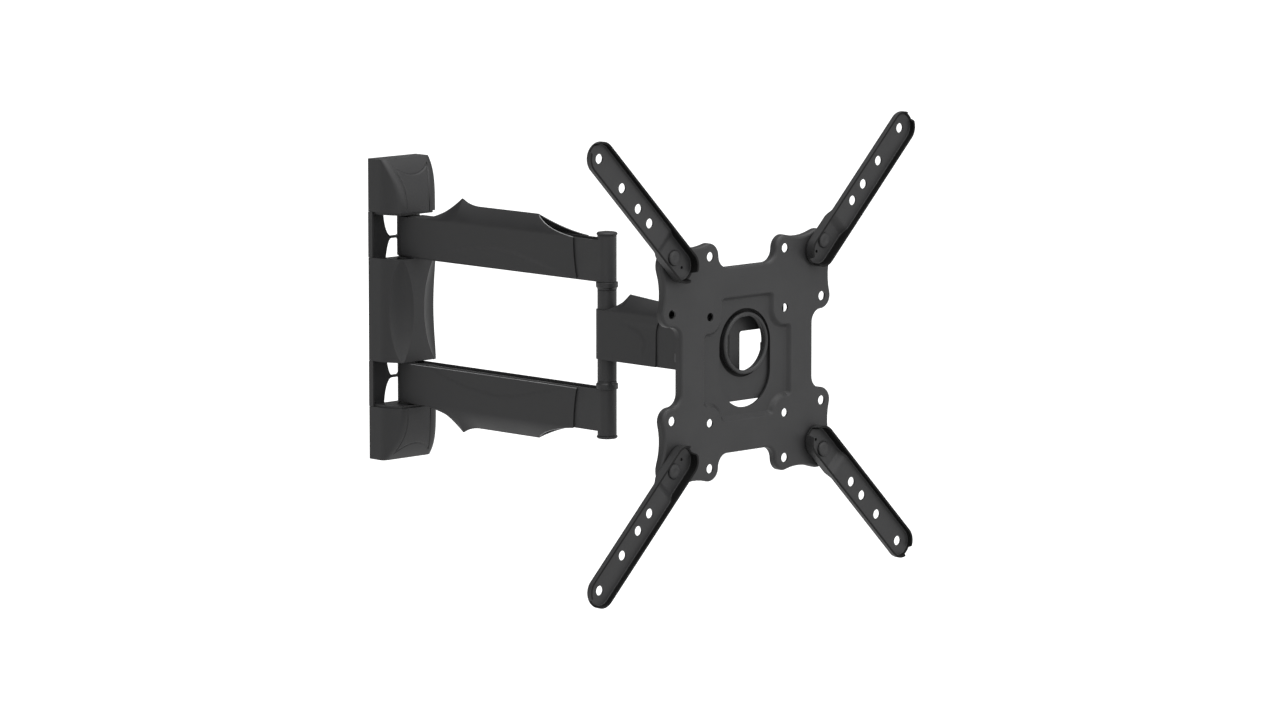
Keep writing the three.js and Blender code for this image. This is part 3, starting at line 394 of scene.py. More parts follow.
MATERIALS = {
    "powder_coated_steel": powder_coat(),
    "cover_plastic": moulded_plastic(),
    "dark_steel": zinc_steel(),
    "nylon": nylon(),
}
HATCHED = hatched_plastic()

# Plastic painted paler and shinier: a painted highlight along the cover edges that face up and catch the light
HIGHLIGHT_PAINTED_PLASTIC = recoloured(
    moulded_plastic(), "plastic_painted_highlight", 0.5, (0.085, 0.085, 0.087), (0.11, 0.11, 0.112),
)

# Powder coat painted near black and dull: painted shade in the hollow round the tilt bracket's ring and on the
# extension arms' inner channel walls and rim edges
SHADE_PAINTED_COAT = recoloured(
    powder_coat(), "powder_coat_painted_shade", 0.06, (0.004, 0.004, 0.004), (0.006, 0.006, 0.006),
)


# ---------------------------------------------------------------- outlines
def clamp(value):
    """The value held between 0 and 1."""
    return max(0.0, min(1.0, value))


def ease(value):
    """A smooth step from 0 to 1 as the value goes from 0 to 1."""
    part = clamp(value)
    return part * part * (3 - 2 * part)


def arc(cx, cy, radius, start, end, steps):
    """Points of an arc, both ends included."""
    return [
        (cx + radius * math.cos(start + (end - start) * i / steps),
         cy + radius * math.sin(start + (end - start) * i / steps))
        for i in range(steps + 1)
    ]


def circle(cx, cy, radius, steps=40):
    """Points of a whole circle, anticlockwise."""
    return arc(cx, cy, radius, 0, 2 * math.pi, steps)[:-1]


def quadratic(p0, p1, p2, steps):
    """Points of a quadratic curve, both ends included."""
    points = []
    for i in range(steps + 1):
        t = i / steps
        weights = ((1 - t) ** 2, 2 * t * (1 - t), t * t)
        points.append(tuple(sum(w * v for w, v in zip(weights, axis)) for axis in zip(p0, p1, p2)))
    return points


def between(points, along):
    """Value at a place on the broken line through (place, value) points, whose places fall."""
    for (place0, value0), (place1, value1) in zip(points, points[1:]):
        if place1 <= along <= place0:
            return value0 + (value1 - value0) * (place0 - along) / (place0 - place1)
    return points[0][1] if along > points[0][0] else points[-1][1]


def tidy_loop(points, nearest=0.02):
    """The loop without points that repeat the one before."""
    kept = []
    for point in points:
        if not kept or math.dist(point, kept[-1]) > nearest:
            kept.append(point)
    if math.dist(kept[0], kept[-1]) <= nearest:
        kept.pop()
    return kept


def grow(loop, distance):
    """The loop moved outward by distance, for a loop that runs anticlockwise."""
    moved = []
    count = len(loop)
    for i in range(count):
        before = Vector(loop[i]) - Vector(loop[i - 1])
        after = Vector(loop[(i + 1) % count]) - Vector(loop[i])
        before = Vector((before.y, -before.x)).normalized()
        after = Vector((after.y, -after.x)).normalized()
        middle = (before + after).normalized()
        reach = distance / max(0.5, middle.dot(after))
        moved.append((loop[i][0] + middle.x * reach, loop[i][1] + middle.y * reach))
    return moved


def rounded(corners, steps=6):
    """A loop through corners of (x, y, radius), each one rounded."""
    points = []
    count = len(corners)
    for i, (x, y, radius) in enumerate(corners):
        here = Vector((x, y))
        back = (Vector(corners[i - 1][:2]) - here).normalized()
        ahead = (Vector(corners[(i + 1) % count][:2]) - here).normalized()
        half = back.angle(ahead) / 2
        centre = here + (back + ahead).normalized() * radius / math.sin(half)
        first = here + back * radius / math.tan(half) - centre
        last = here + ahead * radius / math.tan(half) - centre
        start = math.atan2(first.y, first.x)
        sweep = (math.atan2(last.y, last.x) - start + math.pi) % (2 * math.pi) - math.pi
        points += arc(centre.x, centre.y, radius, start, start + sweep, steps)
    return tidy_loop(points)


def inside(point, loop):
    """True where the point lies inside the loop."""
    x, y = point
    result = False
    for i in range(len(loop)):
        x0, y0 = loop[i - 1]
        x1, y1 = loop[i]
        if (y0 > y) != (y1 > y) and x < x0 + (y - y0) / (y1 - y0) * (x1 - x0):
            result = not result
    return result


# ---------------------------------------------------------------- surfaces
class Surface:
    """A mesh put together from patches in millimetres, welded where they meet."""

    def __init__(self):
        self.mesh = bmesh.new()

    def patch(self, rows, closed=False):
        """A grid of faces over rows of points; closed joins each row's end to its start."""
        grid = [[self.mesh.verts.new(point) for point in row] for row in rows]
        for lower, upper in zip(grid, grid[1:]):
            count = len(lower)
            for i in range(count if closed else count - 1):
                j = (i + 1) % count
                self.mesh.faces.new((lower[i], lower[j], upper[j], upper[i]))

    def fill(self, loops, place, lines=()):
        """The flat region inside loops[0] and outside the others; place turns (u, v) into a point."""
        points = []
        edges = []
        for loop in loops:
            first = len(points)
            points += [Vector(p) for p in loop]
            edges += [(first + i, first + (i + 1) % len(loop)) for i in range(len(loop))]
        for line in lines:
            first = len(points)
            points += [Vector(p) for p in line]
            edges += [(first + i, first + i + 1) for i in range(len(line) - 1)]
        flat, _, faces, *_ = delaunay_2d_cdt(points, edges, [], 0, 1e-5)
        corners = [self.mesh.verts.new(place(*p)) for p in flat]
        for face in faces:
            centre = sum((flat[i] for i in face), Vector((0, 0))) / len(face)
            if inside(centre, loops[0]) and not any(inside(centre, hole) for hole in loops[1:]):
                self.mesh.faces.new([corners[i] for i in face])

    def mirrored(self, *axes):
        """Adds the mirror image of everything so far in each axis in turn."""
        for axis in axes:
            copied = bmesh.ops.duplicate(self.mesh, geom=self.mesh.verts[:] + self.mesh.faces[:])["geom"]
            verts = [part for part in copied if isinstance(part, bmesh.types.BMVert)]
            for vert in verts:
                vert.co[axis] = -vert.co[axis]

    def finish(self, name, node, body, slot, facing, turn=None):
        """Welds the patches, faces them along facing and makes the piece that stands for a CAD node."""
        mesh = self.mesh
        bmesh.ops.remove_doubles(mesh, verts=mesh.verts, dist=0.012)
        loose = [vert for vert in mesh.verts if not vert.link_faces]
        bmesh.ops.delete(mesh, geom=loose, context="VERTS")
        bmesh.ops.dissolve_degenerate(mesh, dist=0.001, edges=mesh.edges)
        bmesh.ops.recalc_face_normals(mesh, faces=mesh.faces)
        facing = Vector(facing)

        def lead(face):
            return face.calc_center_median().dot(facing) + 0.1 * abs(face.normal.dot(facing))

        if max(mesh.faces, key=lead).normal.dot(facing) < 0:
            bmesh.ops.reverse_faces(mesh, faces=mesh.faces)
        if turn:
            bmesh.ops.transform(mesh, matrix=turn, verts=mesh.verts)
        bmesh.ops.scale(mesh, vec=(MM, MM, MM), verts=mesh.verts)
        data = bpy.data.meshes.new(name)
        mesh.to_mesh(data)
        mesh.free()
        data.materials.append(MATERIALS[slot])
        piece = bpy.data.objects.new(name, data)
        bpy.context.scene.collection.objects.link(piece)
        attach(piece, body)
        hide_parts(node)
        return piece


def smooth(piece, sharp=35):
    """Smooth shading with sharp edges kept where faces meet at more than sharp degrees."""
    piece.data.polygons.foreach_set("use_smooth", [True] * len(piece.data.polygons))
    piece.data.set_sharp_from_angle(angle=math.radians(sharp))


def thicken(piece, thickness):
    """Gives an outer surface its sheet thickness, inwards."""
    solidify = piece.modifiers.new("sheet", "SOLIDIFY")
    solidify.thickness = thickness * MM
    solidify.offset = -1
    solidify.use_even_offset = True
    solidify.use_quality_normals = True


def soften(piece, width, segments=2, angle=35):
    """Rounds the sharp edges and keeps flat faces flat in the shading."""
    edge = piece.modifiers.new("edges", "BEVEL")
    edge.width = width * MM
    edge.segments = segments
    edge.limit_method = "ANGLE"
    edge.angle_limit = math.radians(angle)
    edge.miter_outer = "MITER_ARC"
    edge.use_clamp_overlap = True
    edge.harden_normals = False
    weight = piece.modifiers.new("shading", "WEIGHTED_NORMAL")
    weight.keep_sharp = False
    weight.weight = 60


# ---------------------------------------------------------------- bracket covers
def cap_front(z):
    """Y of the cap's arched front at a height."""
    part = (z - CAP_BOTTOM) / (CAP_TOP - CAP_BOTTOM)
    return COVER_FRONT + CAP_END_DROP * max(0.0, part) ** CAP_DROP_POWER


def straight_side():
    """The flat side of a bracket cover's plan, from its back edge to where its round corner starts."""
    return [(COVER_HALF_WIDTH, COVER_BACK - (COVER_BACK + COVER_STRAIGHT_DEPTH) * i / 6) for i in range(6)]


def cap_row(z, front):
    """Half the plan of a cap's side and soft corner at height z, from its back edge to its flat front."""
    centre = COVER_HALF_WIDTH - COVER_CORNER_RADIUS
    row = straight_side()
    sweep = math.asin(min(1.0, (-COVER_STRAIGHT_DEPTH - front) / COVER_CORNER_RADIUS))
    meet = (centre + COVER_CORNER_RADIUS * math.cos(sweep), front)
    turned = sweep - min(CAP_SOFT_SIDE / COVER_CORNER_RADIUS, 0.8 * sweep)
    row += arc(centre, -COVER_STRAIGHT_DEPTH, COVER_CORNER_RADIUS, 0, -turned, 12)
    row += quadratic(row[-1], meet, (meet[0] - CAP_SOFT_FRONT, front), 12)[1:]
    return [(x, y, z) for x, y in row]


def panel_side(z):
    """Half width of a cap's panel at a height."""
    return PANEL_SIDE_X + PANEL_SIDE_CURVE * max(0.0, z - CAP_BOTTOM - PANEL_SIDE_LOW) ** 2


def panel_top(x):
    """Height of the panel's upper edge at x."""
    return PANEL_TOP_Z + PANEL_TOP_CURVE * x * x


def groove_depth(x, z):
    """Depth of the groove that outlines the panel on a cap's front."""
    depth = 0.0
    if z < panel_top(x) + GROOVE_HALF_WIDTH:
        depth = max(depth, 1 - abs(abs(x) - panel_side(z)) / GROOVE_HALF_WIDTH)
    if abs(x) < panel_side(z) + GROOVE_HALF_WIDTH:
        depth = max(depth, 1 - abs(z - panel_top(x)) / GROOVE_HALF_WIDTH)
    return GROOVE_DEPTH * depth


def on_panel(x, z):
    """True inside the panel that the groove outlines."""
    return abs(x) < panel_side(z) - PANEL_INSET and z < panel_top(x) - PANEL_INSET


def cap(name, node, body, turn):
    """A bracket cap: sides, round corners and an arched front with its grooved panel, and a flat end."""
    sides = []
    fronts = []
    levels = 96
    across = 56
    for i in range(levels + 1):
        z = CAP_BOTTOM + (CAP_TOP - CAP_BOTTOM) * i / levels
        front = cap_front(z)
        sides.append(cap_row(z, front))
        columns = [sides[-1][-1][0] * (1 - i / across) for i in range(across + 1)]
        fronts.append([(x, front + groove_depth(x, z), z) for x in columns])
    surface = Surface()
    surface.patch(sides)
    surface.patch(fronts)
    surface.mirrored(0)
    top = [(x, y) for x, y, _ in sides[-1] + fronts[-1][1:]]
    outline = tidy_loop(top + [(-x, y) for x, y in reversed(top)])
    surface.fill([outline], lambda x, y: (x, y, CAP_TOP))
    piece = surface.finish(name, node, body, "cover_plastic", (0, -1, 0), turn)
    piece.data.materials.append(HATCHED)
    flip = -1 if turn else 1
    for face in piece.data.polygons:
        x, y, z = face.center / MM
        if face.normal.y < -0.3 and on_panel(x, z * flip):
            face.material_index = 1
    smooth(piece)
    soften(piece, 1.6, 4, 50)
    thicken(piece, COVER_WALL)
    soften(piece, 0.3, 2, 50)


def middle_row(z):
    """Half the plan of the middle cover at height z, from its back edge round the scoop to its front."""
    centre = Vector((COVER_HALF_WIDTH - COVER_CORNER_RADIUS, -COVER_STRAIGHT_DEPTH))
    axis = Vector((SCOOP_AXIS_X, SCOOP_AXIS_Y))
    stretched = z * SCOOP_STRETCH
    radius = SCOOP_RADIUS - stretched * stretched / SCOOP_SAG
    span = (axis - centre).length
    along = (COVER_CORNER_RADIUS ** 2 - radius ** 2 + span ** 2) / (2 * span)
    off = math.sqrt(max(0.0, COVER_CORNER_RADIUS ** 2 - along ** 2))
    direction = (axis - centre) / span
    meet = centre + direction * along + Vector((-direction.y, direction.x)) * off
    sweep = -math.atan2(meet.y - centre.y, meet.x - centre.x)
    rise = COVER_FRONT - SCOOP_AXIS_Y
    front_x = SCOOP_AXIS_X - math.sqrt(max(0.0, radius ** 2 - rise ** 2))
    first = math.atan2(meet.y - axis.y, meet.x - axis.x)
    last = math.atan2(rise, front_x - axis.x)
    scoop = arc(axis.x, axis.y, radius, first, last, 16)[1:]
    full_sweep = math.asin((-COVER_STRAIGHT_DEPTH - COVER_FRONT) / COVER_CORNER_RADIUS)
    if sweep >= full_sweep:
        sweep = full_sweep
        front_x = centre.x + COVER_CORNER_RADIUS * math.cos(full_sweep)
        scoop = [(front_x, COVER_FRONT)] * 16
    row = straight_side() + arc(centre.x, centre.y, COVER_CORNER_RADIUS, 0, -sweep, 14) + scoop
    row += [(front_x * (1 - i / 12), COVER_FRONT) for i in range(1, 13)]
    return [(x, y, z) for x, y in row]


def middle_cover():
    """The cover between the two windows, with a scoop along each front corner."""
    levels = 56
    surface = Surface()
    rows = [middle_row(-MIDDLE_HALF + 2 * MIDDLE_HALF * i / levels) for i in range(levels + 1)]
    surface.patch(rows)
    surface.mirrored(0)
    name = "middle_cover_shell"
    piece = surface.finish(name, "middle_cover", "wall_bracket", "cover_plastic", (0, -1, 0))
    smooth(piece, 28)
    thicken(piece, COVER_WALL)
    soften(piece, 0.5, 2, 28)


# ---------------------------------------------------------------- arm covers
def hump_line():
    """The hump's ridge from the side, as (y, z) from the wall end to past the outlet."""
    line = [(WALL_PIVOT_Y, ROOF), (HUMP_START + 4, ROOF)]
    near = (HUMP_PEAK_Y + HUMP_ROUND, HUMP_PEAK_Z - 0.8)
    far = (HUMP_PEAK_Y - HUMP_ROUND, HUMP_PEAK_Z - 0.7)
    line += quadratic((HUMP_START, ROOF), HUMP_BEND, near, 14)
    line += quadratic(near, (HUMP_PEAK_Y, HUMP_PEAK_Z + 0.75), far, 6)
    line += quadratic(far, HUMP_FALL, (HUMP_FLAT_Y, HUMP_FLAT_Z), 8)
    line += [(OUTLET_START, HUMP_FLAT_Z), (ARM_COVER_END - 8, HUMP_FLAT_Z)]
    return line


def outlet_line():
    """The edge of the cable outlet from the side, from the ridge down to the roof."""
    return quadratic((OUTLET_START, HUMP_FLAT_Z), OUTLET_BEND, (ARM_COVER_END - 6, ROOF - 0.9), 24)


def hump_profile(part, height):
    """Half width of the hump, as a part of the arm's, at a part of its height."""
    flat_roof = math.sqrt(max(0.0, 1 - part ** 6))
    tent = 1 - part ** 1.5
    blend = clamp((height - LOW_HUMP) / LOW_HUMP_FADE)
    return flat_roof * (1 - blend) + tent * blend


def skirt_emboss(y, z, step=0.9):
    """How far the main arm's skirt stands back below its embossed line."""
    if y > SKIRT_EMBOSS[0][0]:
        return 0.0
    return EMBOSS_HEIGHT * ease((between(SKIRT_EMBOSS, y) - z) / step + 0.5)


def cover_stations():
    """Y of each row of a main arm's cover: close together, with rows at every change of its outline."""
    stations = [y for _, y in arc(0, WALL_PIVOT_Y, ARM_SKIN, math.pi / 2, 0, 12)[:-1]]
    stations += [WALL_PIVOT_Y - STATION_STEP * i for i in range(20)]
    count = 1 + int((HUMP_START - ARM_COVER_END) / STATION_STEP)
    stations += [HUMP_START - STATION_STEP * i for i in range(count)]
    for place, room in ((HUMP_PEAK_Y, 2.4), (OUTLET_START, 0.8), (ROOF_START, 0.6)):
        stations = [y for y in stations if abs(y - place) > room]
    stations += [HUMP_PEAK_Y + HUMP_ROUND * step for step in (-1, -0.6, -0.25, 0, 0.25, 0.6, 1)]
    return sorted(stations + [ROOF_START, OUTLET_START, ARM_COVER_END], reverse=True)


def arm_cover_row(y, ridge, outlet):
    """Half of a main arm's cover at one station, from its lower lip up to the ridge or the outlet."""
    half = math.sqrt(max(0.0, ARM_SKIN ** 2 - max(0.0, y - WALL_PIVOT_Y) ** 2))
    lean = SKIRT_LEAN_OUT * max(0.0, (ARM_COVER_END + SKIRT_LEAN_START - y) / SKIRT_LEAN_START) ** 2
    row = []
    for i in range(LIP_STEPS):
        turned = math.pi / 2 * i / LIP_STEPS
        x = half - skirt_emboss(y, SKIRT_LOW) - LIP * (1 - math.sin(turned))
        row.append((-x, y - lean, SKIRT_LOW + LIP * (1 - math.cos(turned))))
    skirt_steps = 24
    for i in range(skirt_steps + 1):
        part = i / skirt_steps
        z = SKIRT_LOW + LIP + (ARM_HIGH - SKIRT_LOW - LIP) * part
        row.append((skirt_emboss(y, z) - half, y - lean * (1 - part) ** 2, z))
    top = between(ridge, y)
    end_z = between(outlet, y) if y < OUTLET_START else top
    height = top - ARM_HIGH
    lip = min(LIP * clamp((OUTLET_START - y) / 4), 0.6 * max(0.0, end_z - ARM_HIGH))
    last = min(1.0, (end_z - lip - ARM_HIGH) / height)
    hump_steps = 16
    for i in range(1, hump_steps + 1):
        part = last * i / hump_steps
        row.append((-half * hump_profile(part, height), y, ARM_HIGH + height * part))
    edge_x, _, edge_z = row[-1]
    for i in range(1, LIP_STEPS + 1):
        turned = math.pi / 2 * i / LIP_STEPS
        x = min(0.0, edge_x + lip * (1 - math.cos(turned)))
        row.append((x, y, edge_z + lip * math.sin(turned)))
    return row


def arm_cover(name, node, turn):
    """A main arm's cover: a skirt round the arm and a hump that opens towards the elbow."""
    ridge = hump_line()
    outlet = outlet_line()
    rows = [arm_cover_row(y, ridge, outlet) for y in cover_stations()]
    surface = Surface()
    surface.patch(rows)
    over_pin = []
    for face in surface.mesh.faces:
        centre = face.calc_center_median()
        if centre.y > ROOF_START and centre.z > ARM_HIGH + 0.01:
            over_pin.append(face)
    bmesh.ops.delete(surface.mesh, geom=over_pin, context="FACES")
    surface.mirrored(0)
    piece = surface.finish(name, node, "main_arms", "cover_plastic", (-1, 0, 0), turn)
    piece.data.materials.append(HIGHLIGHT_PAINTED_PLASTIC)
    flip = -1 if turn else 1
    for face in piece.data.polygons:
        _, y, z = face.center / MM
        # Painted highlight on the edges that face up: the outlet's edge and the lower arm's turned-up skirt lip;
        # the upper arm's cover has the same lip underneath, facing down, where none is painted
        on_low_lip = turn and flip * z < SKIRT_LOW + 0.8 * LIP
        on_outlet = y < OUTLET_START - 2 and flip * z > between(outlet, y) - 0.8 * LIP
        if on_low_lip or on_outlet:
            face.material_index = 1
    smooth(piece, 40)
    thicken(piece, SHELL)
    soften(piece, 0.35, 2, 40)


def crest_line():
    """The crest's ridge on the forearm cover, as (y, z)."""
    foot = (CREST_START, FOREARM_HIGH + CREST_FOOT_RISE)
    line = quadratic(foot, CREST_BEND, (CREST_PEAK_Y, CREST_PEAK_Z), 10)
    line += [(CREST_END_Y, CREST_END_Z), (FOREARM_COVER_END - SKIRT_LEAN, CREST_END_Z - 2)]
    return line


def skirt_end(z):
    """Y where the forearm's cover ends at a height: straight, then leaning out."""
    lift = max(0.0, z - SKIRT_LEAN_LOW) / (CREST_END_Z - SKIRT_LEAN_LOW)
    return FOREARM_COVER_END - SKIRT_LEAN * lift ** 1.8


def pocket_depth(y, z, step=1.4):
    """Depth of the thumb-shaped hollow in the side of the forearm's cover."""
    top = POCKET_EDGE[0][0]
    bottom = POCKET_EDGE[-1][0]
    fade = clamp((top + 0.5 - z) / step) * clamp((z - bottom + 9) / 8)
    return EMBOSS_HEIGHT * ease((between(POCKET_EDGE, z) - y) / step + 0.5) * fade


def forearm_cover():
    """The forearm's cover: wraps the elbow tube, carries a crest, and ends in a leaning edge."""
    ridge = crest_line()
    end = FOREARM_COVER_END - SKIRT_LEAN
    straight = [ELBOW_Y - STATION_STEP * i for i in range(1 + int((ELBOW_Y - end) / STATION_STEP))]
    for place in (CREST_START, CREST_PEAK_Y):
        straight = [y for y in straight if abs(y - place) > 0.8]
    straight = sorted(straight + [CREST_START, CREST_PEAK_Y, end], reverse=True)
    path = arc(0, ELBOW_Y, ARM_SKIN, math.pi / 2, math.pi, 14)[:-1] + [(-ARM_SKIN, y) for y in straight]
    skirt_steps = 24
    crest_steps = 14
    rows = []
    crest_rows = []
    for x, y in path:
        row = []
        for i in range(skirt_steps + 1):
            z = FOREARM_LOW + (FOREARM_HIGH - FOREARM_LOW) * i / skirt_steps
            row.append((x + pocket_depth(y, z), max(y, skirt_end(z)), z))
        rows.append(row)
        if y <= CREST_START:
            height = between(ridge, y) - FOREARM_HIGH
            crest = []
            for i in range(crest_steps + 1):
                part = i / crest_steps
                z = FOREARM_HIGH + height * part
                crest.append((x * hump_profile(part, height), max(y, skirt_end(z)), z))
            crest_rows.append(crest)
    surface = Surface()
    surface.patch(rows)
    surface.patch(crest_rows)
    surface.mirrored(0)
    name = "forearm_cover_shell"
    piece = surface.finish(name, "forearm_cover", "forearm_link", "cover_plastic", (-1, 0, 0))
    smooth(piece, 40)
    thicken(piece, SHELL)
    soften(piece, 0.35, 2, 40)


# ---------------------------------------------------------------- screen plate
def touching(a, b, radius):
    """Circle of a radius that touches circles a and b, given as (x, y, radius), on their outer side."""
    reach_a = a[2] + radius
    reach_b = b[2] + radius
    dx = b[0] - a[0]
    dy = b[1] - a[1]
    span = math.hypot(dx, dy)
    along = (reach_a ** 2 - reach_b ** 2 + span ** 2) / (2 * span)
    off = math.sqrt(reach_a ** 2 - along ** 2)
    return (a[0] + (along * dx - off * dy) / span, a[1] + (along * dy + off * dx) / span, radius)


def plate_outline(inset=0.0):
    """Outline of the screen plate, anticlockwise: fillets, tabs, shallow dips and round corners."""
    tab = (TAB_NEAR, TAB_FAR, TAB_RADIUS - inset)
    corner = (CORNER_CENTRE, CORNER_CENTRE, CORNER_RADIUS - inset)
    dip = touching(tab, corner, DIP_RADIUS + inset)
    rise = FILLET_RADIUS + inset
    fillet_y = PLATE_SIDE - inset + rise
    fillet_x = TAB_NEAR - math.sqrt((tab[2] + rise) ** 2 - (fillet_y - TAB_FAR) ** 2)
    fillet = (fillet_x, fillet_y, rise)

    def aim(a, b):
        return math.atan2(b[1] - a[1], b[0] - a[0])

    eighth = [
        (fillet, -math.pi / 2, aim(fillet, tab), 8),
        (tab, aim(tab, fillet), aim(tab, dip), 14),
        (dip, aim(dip, tab), aim(dip, corner), 6),
        (corner, aim(corner, dip), math.pi / 4, 6),
    ]
    points = []
    for (x, y, radius), start, end, steps in eighth:
        sweep = (end - start + math.pi) % (2 * math.pi) - math.pi
        points += arc(x, y, radius, start, start + sweep, steps)
    points += [(y, x) for x, y in reversed(points)]
    loop = []
    for turn in range(4):
        spin = Matrix.Rotation(-turn * math.pi / 2, 2)
        loop += [tuple(spin @ Vector(p)) for p in points]
    return [(x, y + PLATE_CENTRE_Z) for x, y in reversed(tidy_loop(loop))]


def recess_outline():
    """Edge of the sunk middle's floor, anticlockwise, stepping round the island at each inner hole."""
    side = RECESS_HALF_X - RECESS_RUN
    top = RECESS_TOP - RECESS_RUN
    bottom = RECESS_BOTTOM + RECESS_RUN
    island = ISLAND_RADIUS + RECESS_RUN
    small = RECESS_CORNER
    foot_z = bottom + small
    foot_x = TAB_NEAR - math.sqrt((island + small) ** 2 - (foot_z - INNER_HOLE_LOW) ** 2)
    lean = math.atan2(INNER_HOLE_LOW - foot_z, TAB_NEAR - foot_x)
    quarter = math.pi / 2
    right = arc(foot_x, foot_z, small, -quarter, lean, 6)
    right += arc(TAB_NEAR, INNER_HOLE_LOW, island, math.pi + lean, quarter, 14)
    right += arc(side - small, INNER_HOLE_LOW + island + small, small, -quarter, 0, 6)
    right += arc(side - small, INNER_HOLE_HIGH - island - small, small, 0, quarter, 6)
    right += arc(TAB_NEAR, INNER_HOLE_HIGH, island, -quarter, -math.pi, 14)
    right += arc(TAB_NEAR - island - small, top - small, small, 0, quarter, 6)
    return tidy_loop(right + [(-x, z) for x, z in reversed(right)])


def opening_outline():
    """The tall opening in the sunk middle, with round ends."""
    loop = arc(0, PLATE_CENTRE_Z + OPENING_HALF_STRAIGHT, OPENING_RADIUS, 0, math.pi, 40)
    loop += arc(0, PLATE_CENTRE_Z - OPENING_HALF_STRAIGHT, OPENING_RADIUS, math.pi, 2 * math.pi, 40)
    return tidy_loop(loop)


def flat(y):
    """Places (x, z) points on the plane at y."""
    return lambda x, z: (x, y, z)


def bend(steps, radius):
    """Distances in and forward along a rounded edge."""
    return [(radius - x, y) for x, y in arc(0, 0, radius, 0, math.pi / 2, steps)]


def screen_plate():
    """The pressed plate: rim turned back, rounded front edge, sunk middle with its opening."""
    surface = Surface()
    rows = [[(x, PLATE_BACK, z) for x, z in plate_outline()]]
    for inset, forward in bend(6, PLATE_BEND):
        y = PLATE_FRONT + PLATE_BEND - forward
        rows.append([(x, y, z) for x, z in plate_outline(inset)])
    surface.patch(rows, closed=True)
    holes = []
    for side_x in (1, -1):
        for side_z in (1, -1):
            holes.append(circle(side_x * TAB_NEAR, PLATE_CENTRE_Z + side_z * TAB_FAR, TAB_HOLE_RADIUS))
            holes.append(circle(side_x * TAB_FAR, PLATE_CENTRE_Z + side_z * TAB_NEAR, TAB_HOLE_RADIUS))
            holes.append(circle(side_x * ARM_PIVOT, side_z * ARM_PIVOT, PIVOT_HOLE_RADIUS, 24))
            inner_z = INNER_HOLE_HIGH if side_z > 0 else INNER_HOLE_LOW
            holes.append(circle(side_x * TAB_NEAR, inner_z, INNER_HOLE_RADIUS))
    edge = recess_outline()
    slope = []
    for i in range(11):
        part = i / 10
        inwards = (RECESS_RUN + RECESS_SOFT_TOP + RECESS_SOFT_FLOOR) * part
        slope.append((RECESS_RUN + RECESS_SOFT_TOP - inwards, RECESS_DEPTH * ease(part)))
    walls = [[(x, PLATE_FRONT + depth, z) for x, z in grow(edge, out)] for out, depth in slope]
    surface.patch(walls, closed=True)
    surface.fill([plate_outline(PLATE_BEND), grow(edge, slope[0][0])] + holes, flat(PLATE_FRONT))
    surface.fill([grow(edge, slope[-1][0]), opening_outline()], flat(PLATE_FRONT + RECESS_DEPTH))
    name = "screen_plate_pressing"
    piece = surface.finish(name, "screen_plate", "tilt_head", "powder_coated_steel", (0, -1, 0))
    smooth(piece, 40)
    thicken(piece, PLATE_SHEET)
    soften(piece, 0.35, 2, 40)


# ---------------------------------------------------------------- tilt bracket
def tilt_bracket():
    """The bracket behind the plate: a face with a rolled ring round its bore, and two cheeks."""
    half = TILT_HIGH[0]
    low = TILT_LOW[2]
    high = TILT_HIGH[2]
    neck = TILT_SHOULDER_HALF
    right = [(half, low, 3), (half, TILT_SHOULDER_Z - 3, 2), (neck, TILT_SHOULDER_Z, 2), (neck, high, 3)]
    outline = rounded(right + [(-x, z, radius) for x, z, radius in reversed(right)])
    surface = Surface()
    steps = 72
    room = circle(0, RING_Z, RING_ROOM, steps)
    surface.fill([outline, room], flat(TILT_FACE))
    surface.fill([outline, room], flat(TILT_BACK))
    surface.patch([[(x, y, z) for x, z in room] for y in (TILT_FACE, TILT_BACK)], closed=True)
    surface.patch([[(x, y, z) for x, z in outline] for y in (TILT_FACE, TILT_BACK)], closed=True)
    bead = RING_BORE + RING_BEAD
    bead_y = RING_FRONT + RING_BEAD
    profile = []
    for i in range(21):
        turn = math.radians(-70 + 320 * i / 20)
        profile.append((bead + RING_BEAD * math.cos(turn), bead_y - RING_BEAD * math.sin(turn)))
    profile += [(bead - 0.6, TILT_BACK + 0.6), (RING_FLANGE, TILT_BACK + 0.6)]
    profile += [(RING_FLANGE, TILT_BACK - 0.05), (bead + 0.6, TILT_BACK - 0.05), profile[0]]
    rings = [[(x, y, z) for x, z in circle(0, RING_Z, radius, steps)] for radius, y in profile]
    surface.patch(rings, closed=True)
    name = "tilt_bracket_face"
    piece = surface.finish(name, "tilt_bracket", "tilt_head", "powder_coated_steel", (0, -1, 0))
    # Painted shade: the hollow between the ring's bead and its flange gets the near-black dull coat in place of
    # the shadow in that gap
    piece.data.materials.append(SHADE_PAINTED_COAT)
    for face in piece.data.polygons:
        x, y, z = face.center / MM
        away = math.hypot(x, z - RING_Z)
        if bead + 0.6 < away < RING_FLANGE and TILT_FACE + 0.5 < y < TILT_BACK + 0.3:
            face.material_index = 1
    smooth(piece, 35)
    soften(piece, 0.4, 2, 50)
    cheeks = Surface()
    bolt = circle(TILT_Y, 0, CHEEK_HOLE_RADIUS, 24)
    nose_y = TILT_Y + CHEEK_NOSE
    lower = [
        (TILT_BACK - 0.3, -CHEEK_HALF_HEIGHT, 1), (TILT_BACK + 5, -CHEEK_HALF_HEIGHT, 4),
        (nose_y, -CHEEK_NOSE, 6),
    ]
    shape = rounded(lower + [(y, -z, radius) for y, z, radius in reversed(lower)])
    for side in (1, -1):
        outer = side * half
        inner = side * (half - TILT_SHEET)
        for x in (outer, inner):
            cheeks.fill([shape, bolt], lambda y, z, x=x: (x, y, z))
        for loop in (shape, bolt):
            cheeks.patch([[(x, y, z) for y, z in loop] for x in (outer, inner)], closed=True)
    name = "tilt_bracket_cheeks"
    ears = cheeks.finish(name, "tilt_bracket", "tilt_head", "powder_coated_steel", (-1, 0, 0))
    smooth(ears, 35)
    soften(ears, 0.4, 2, 50)


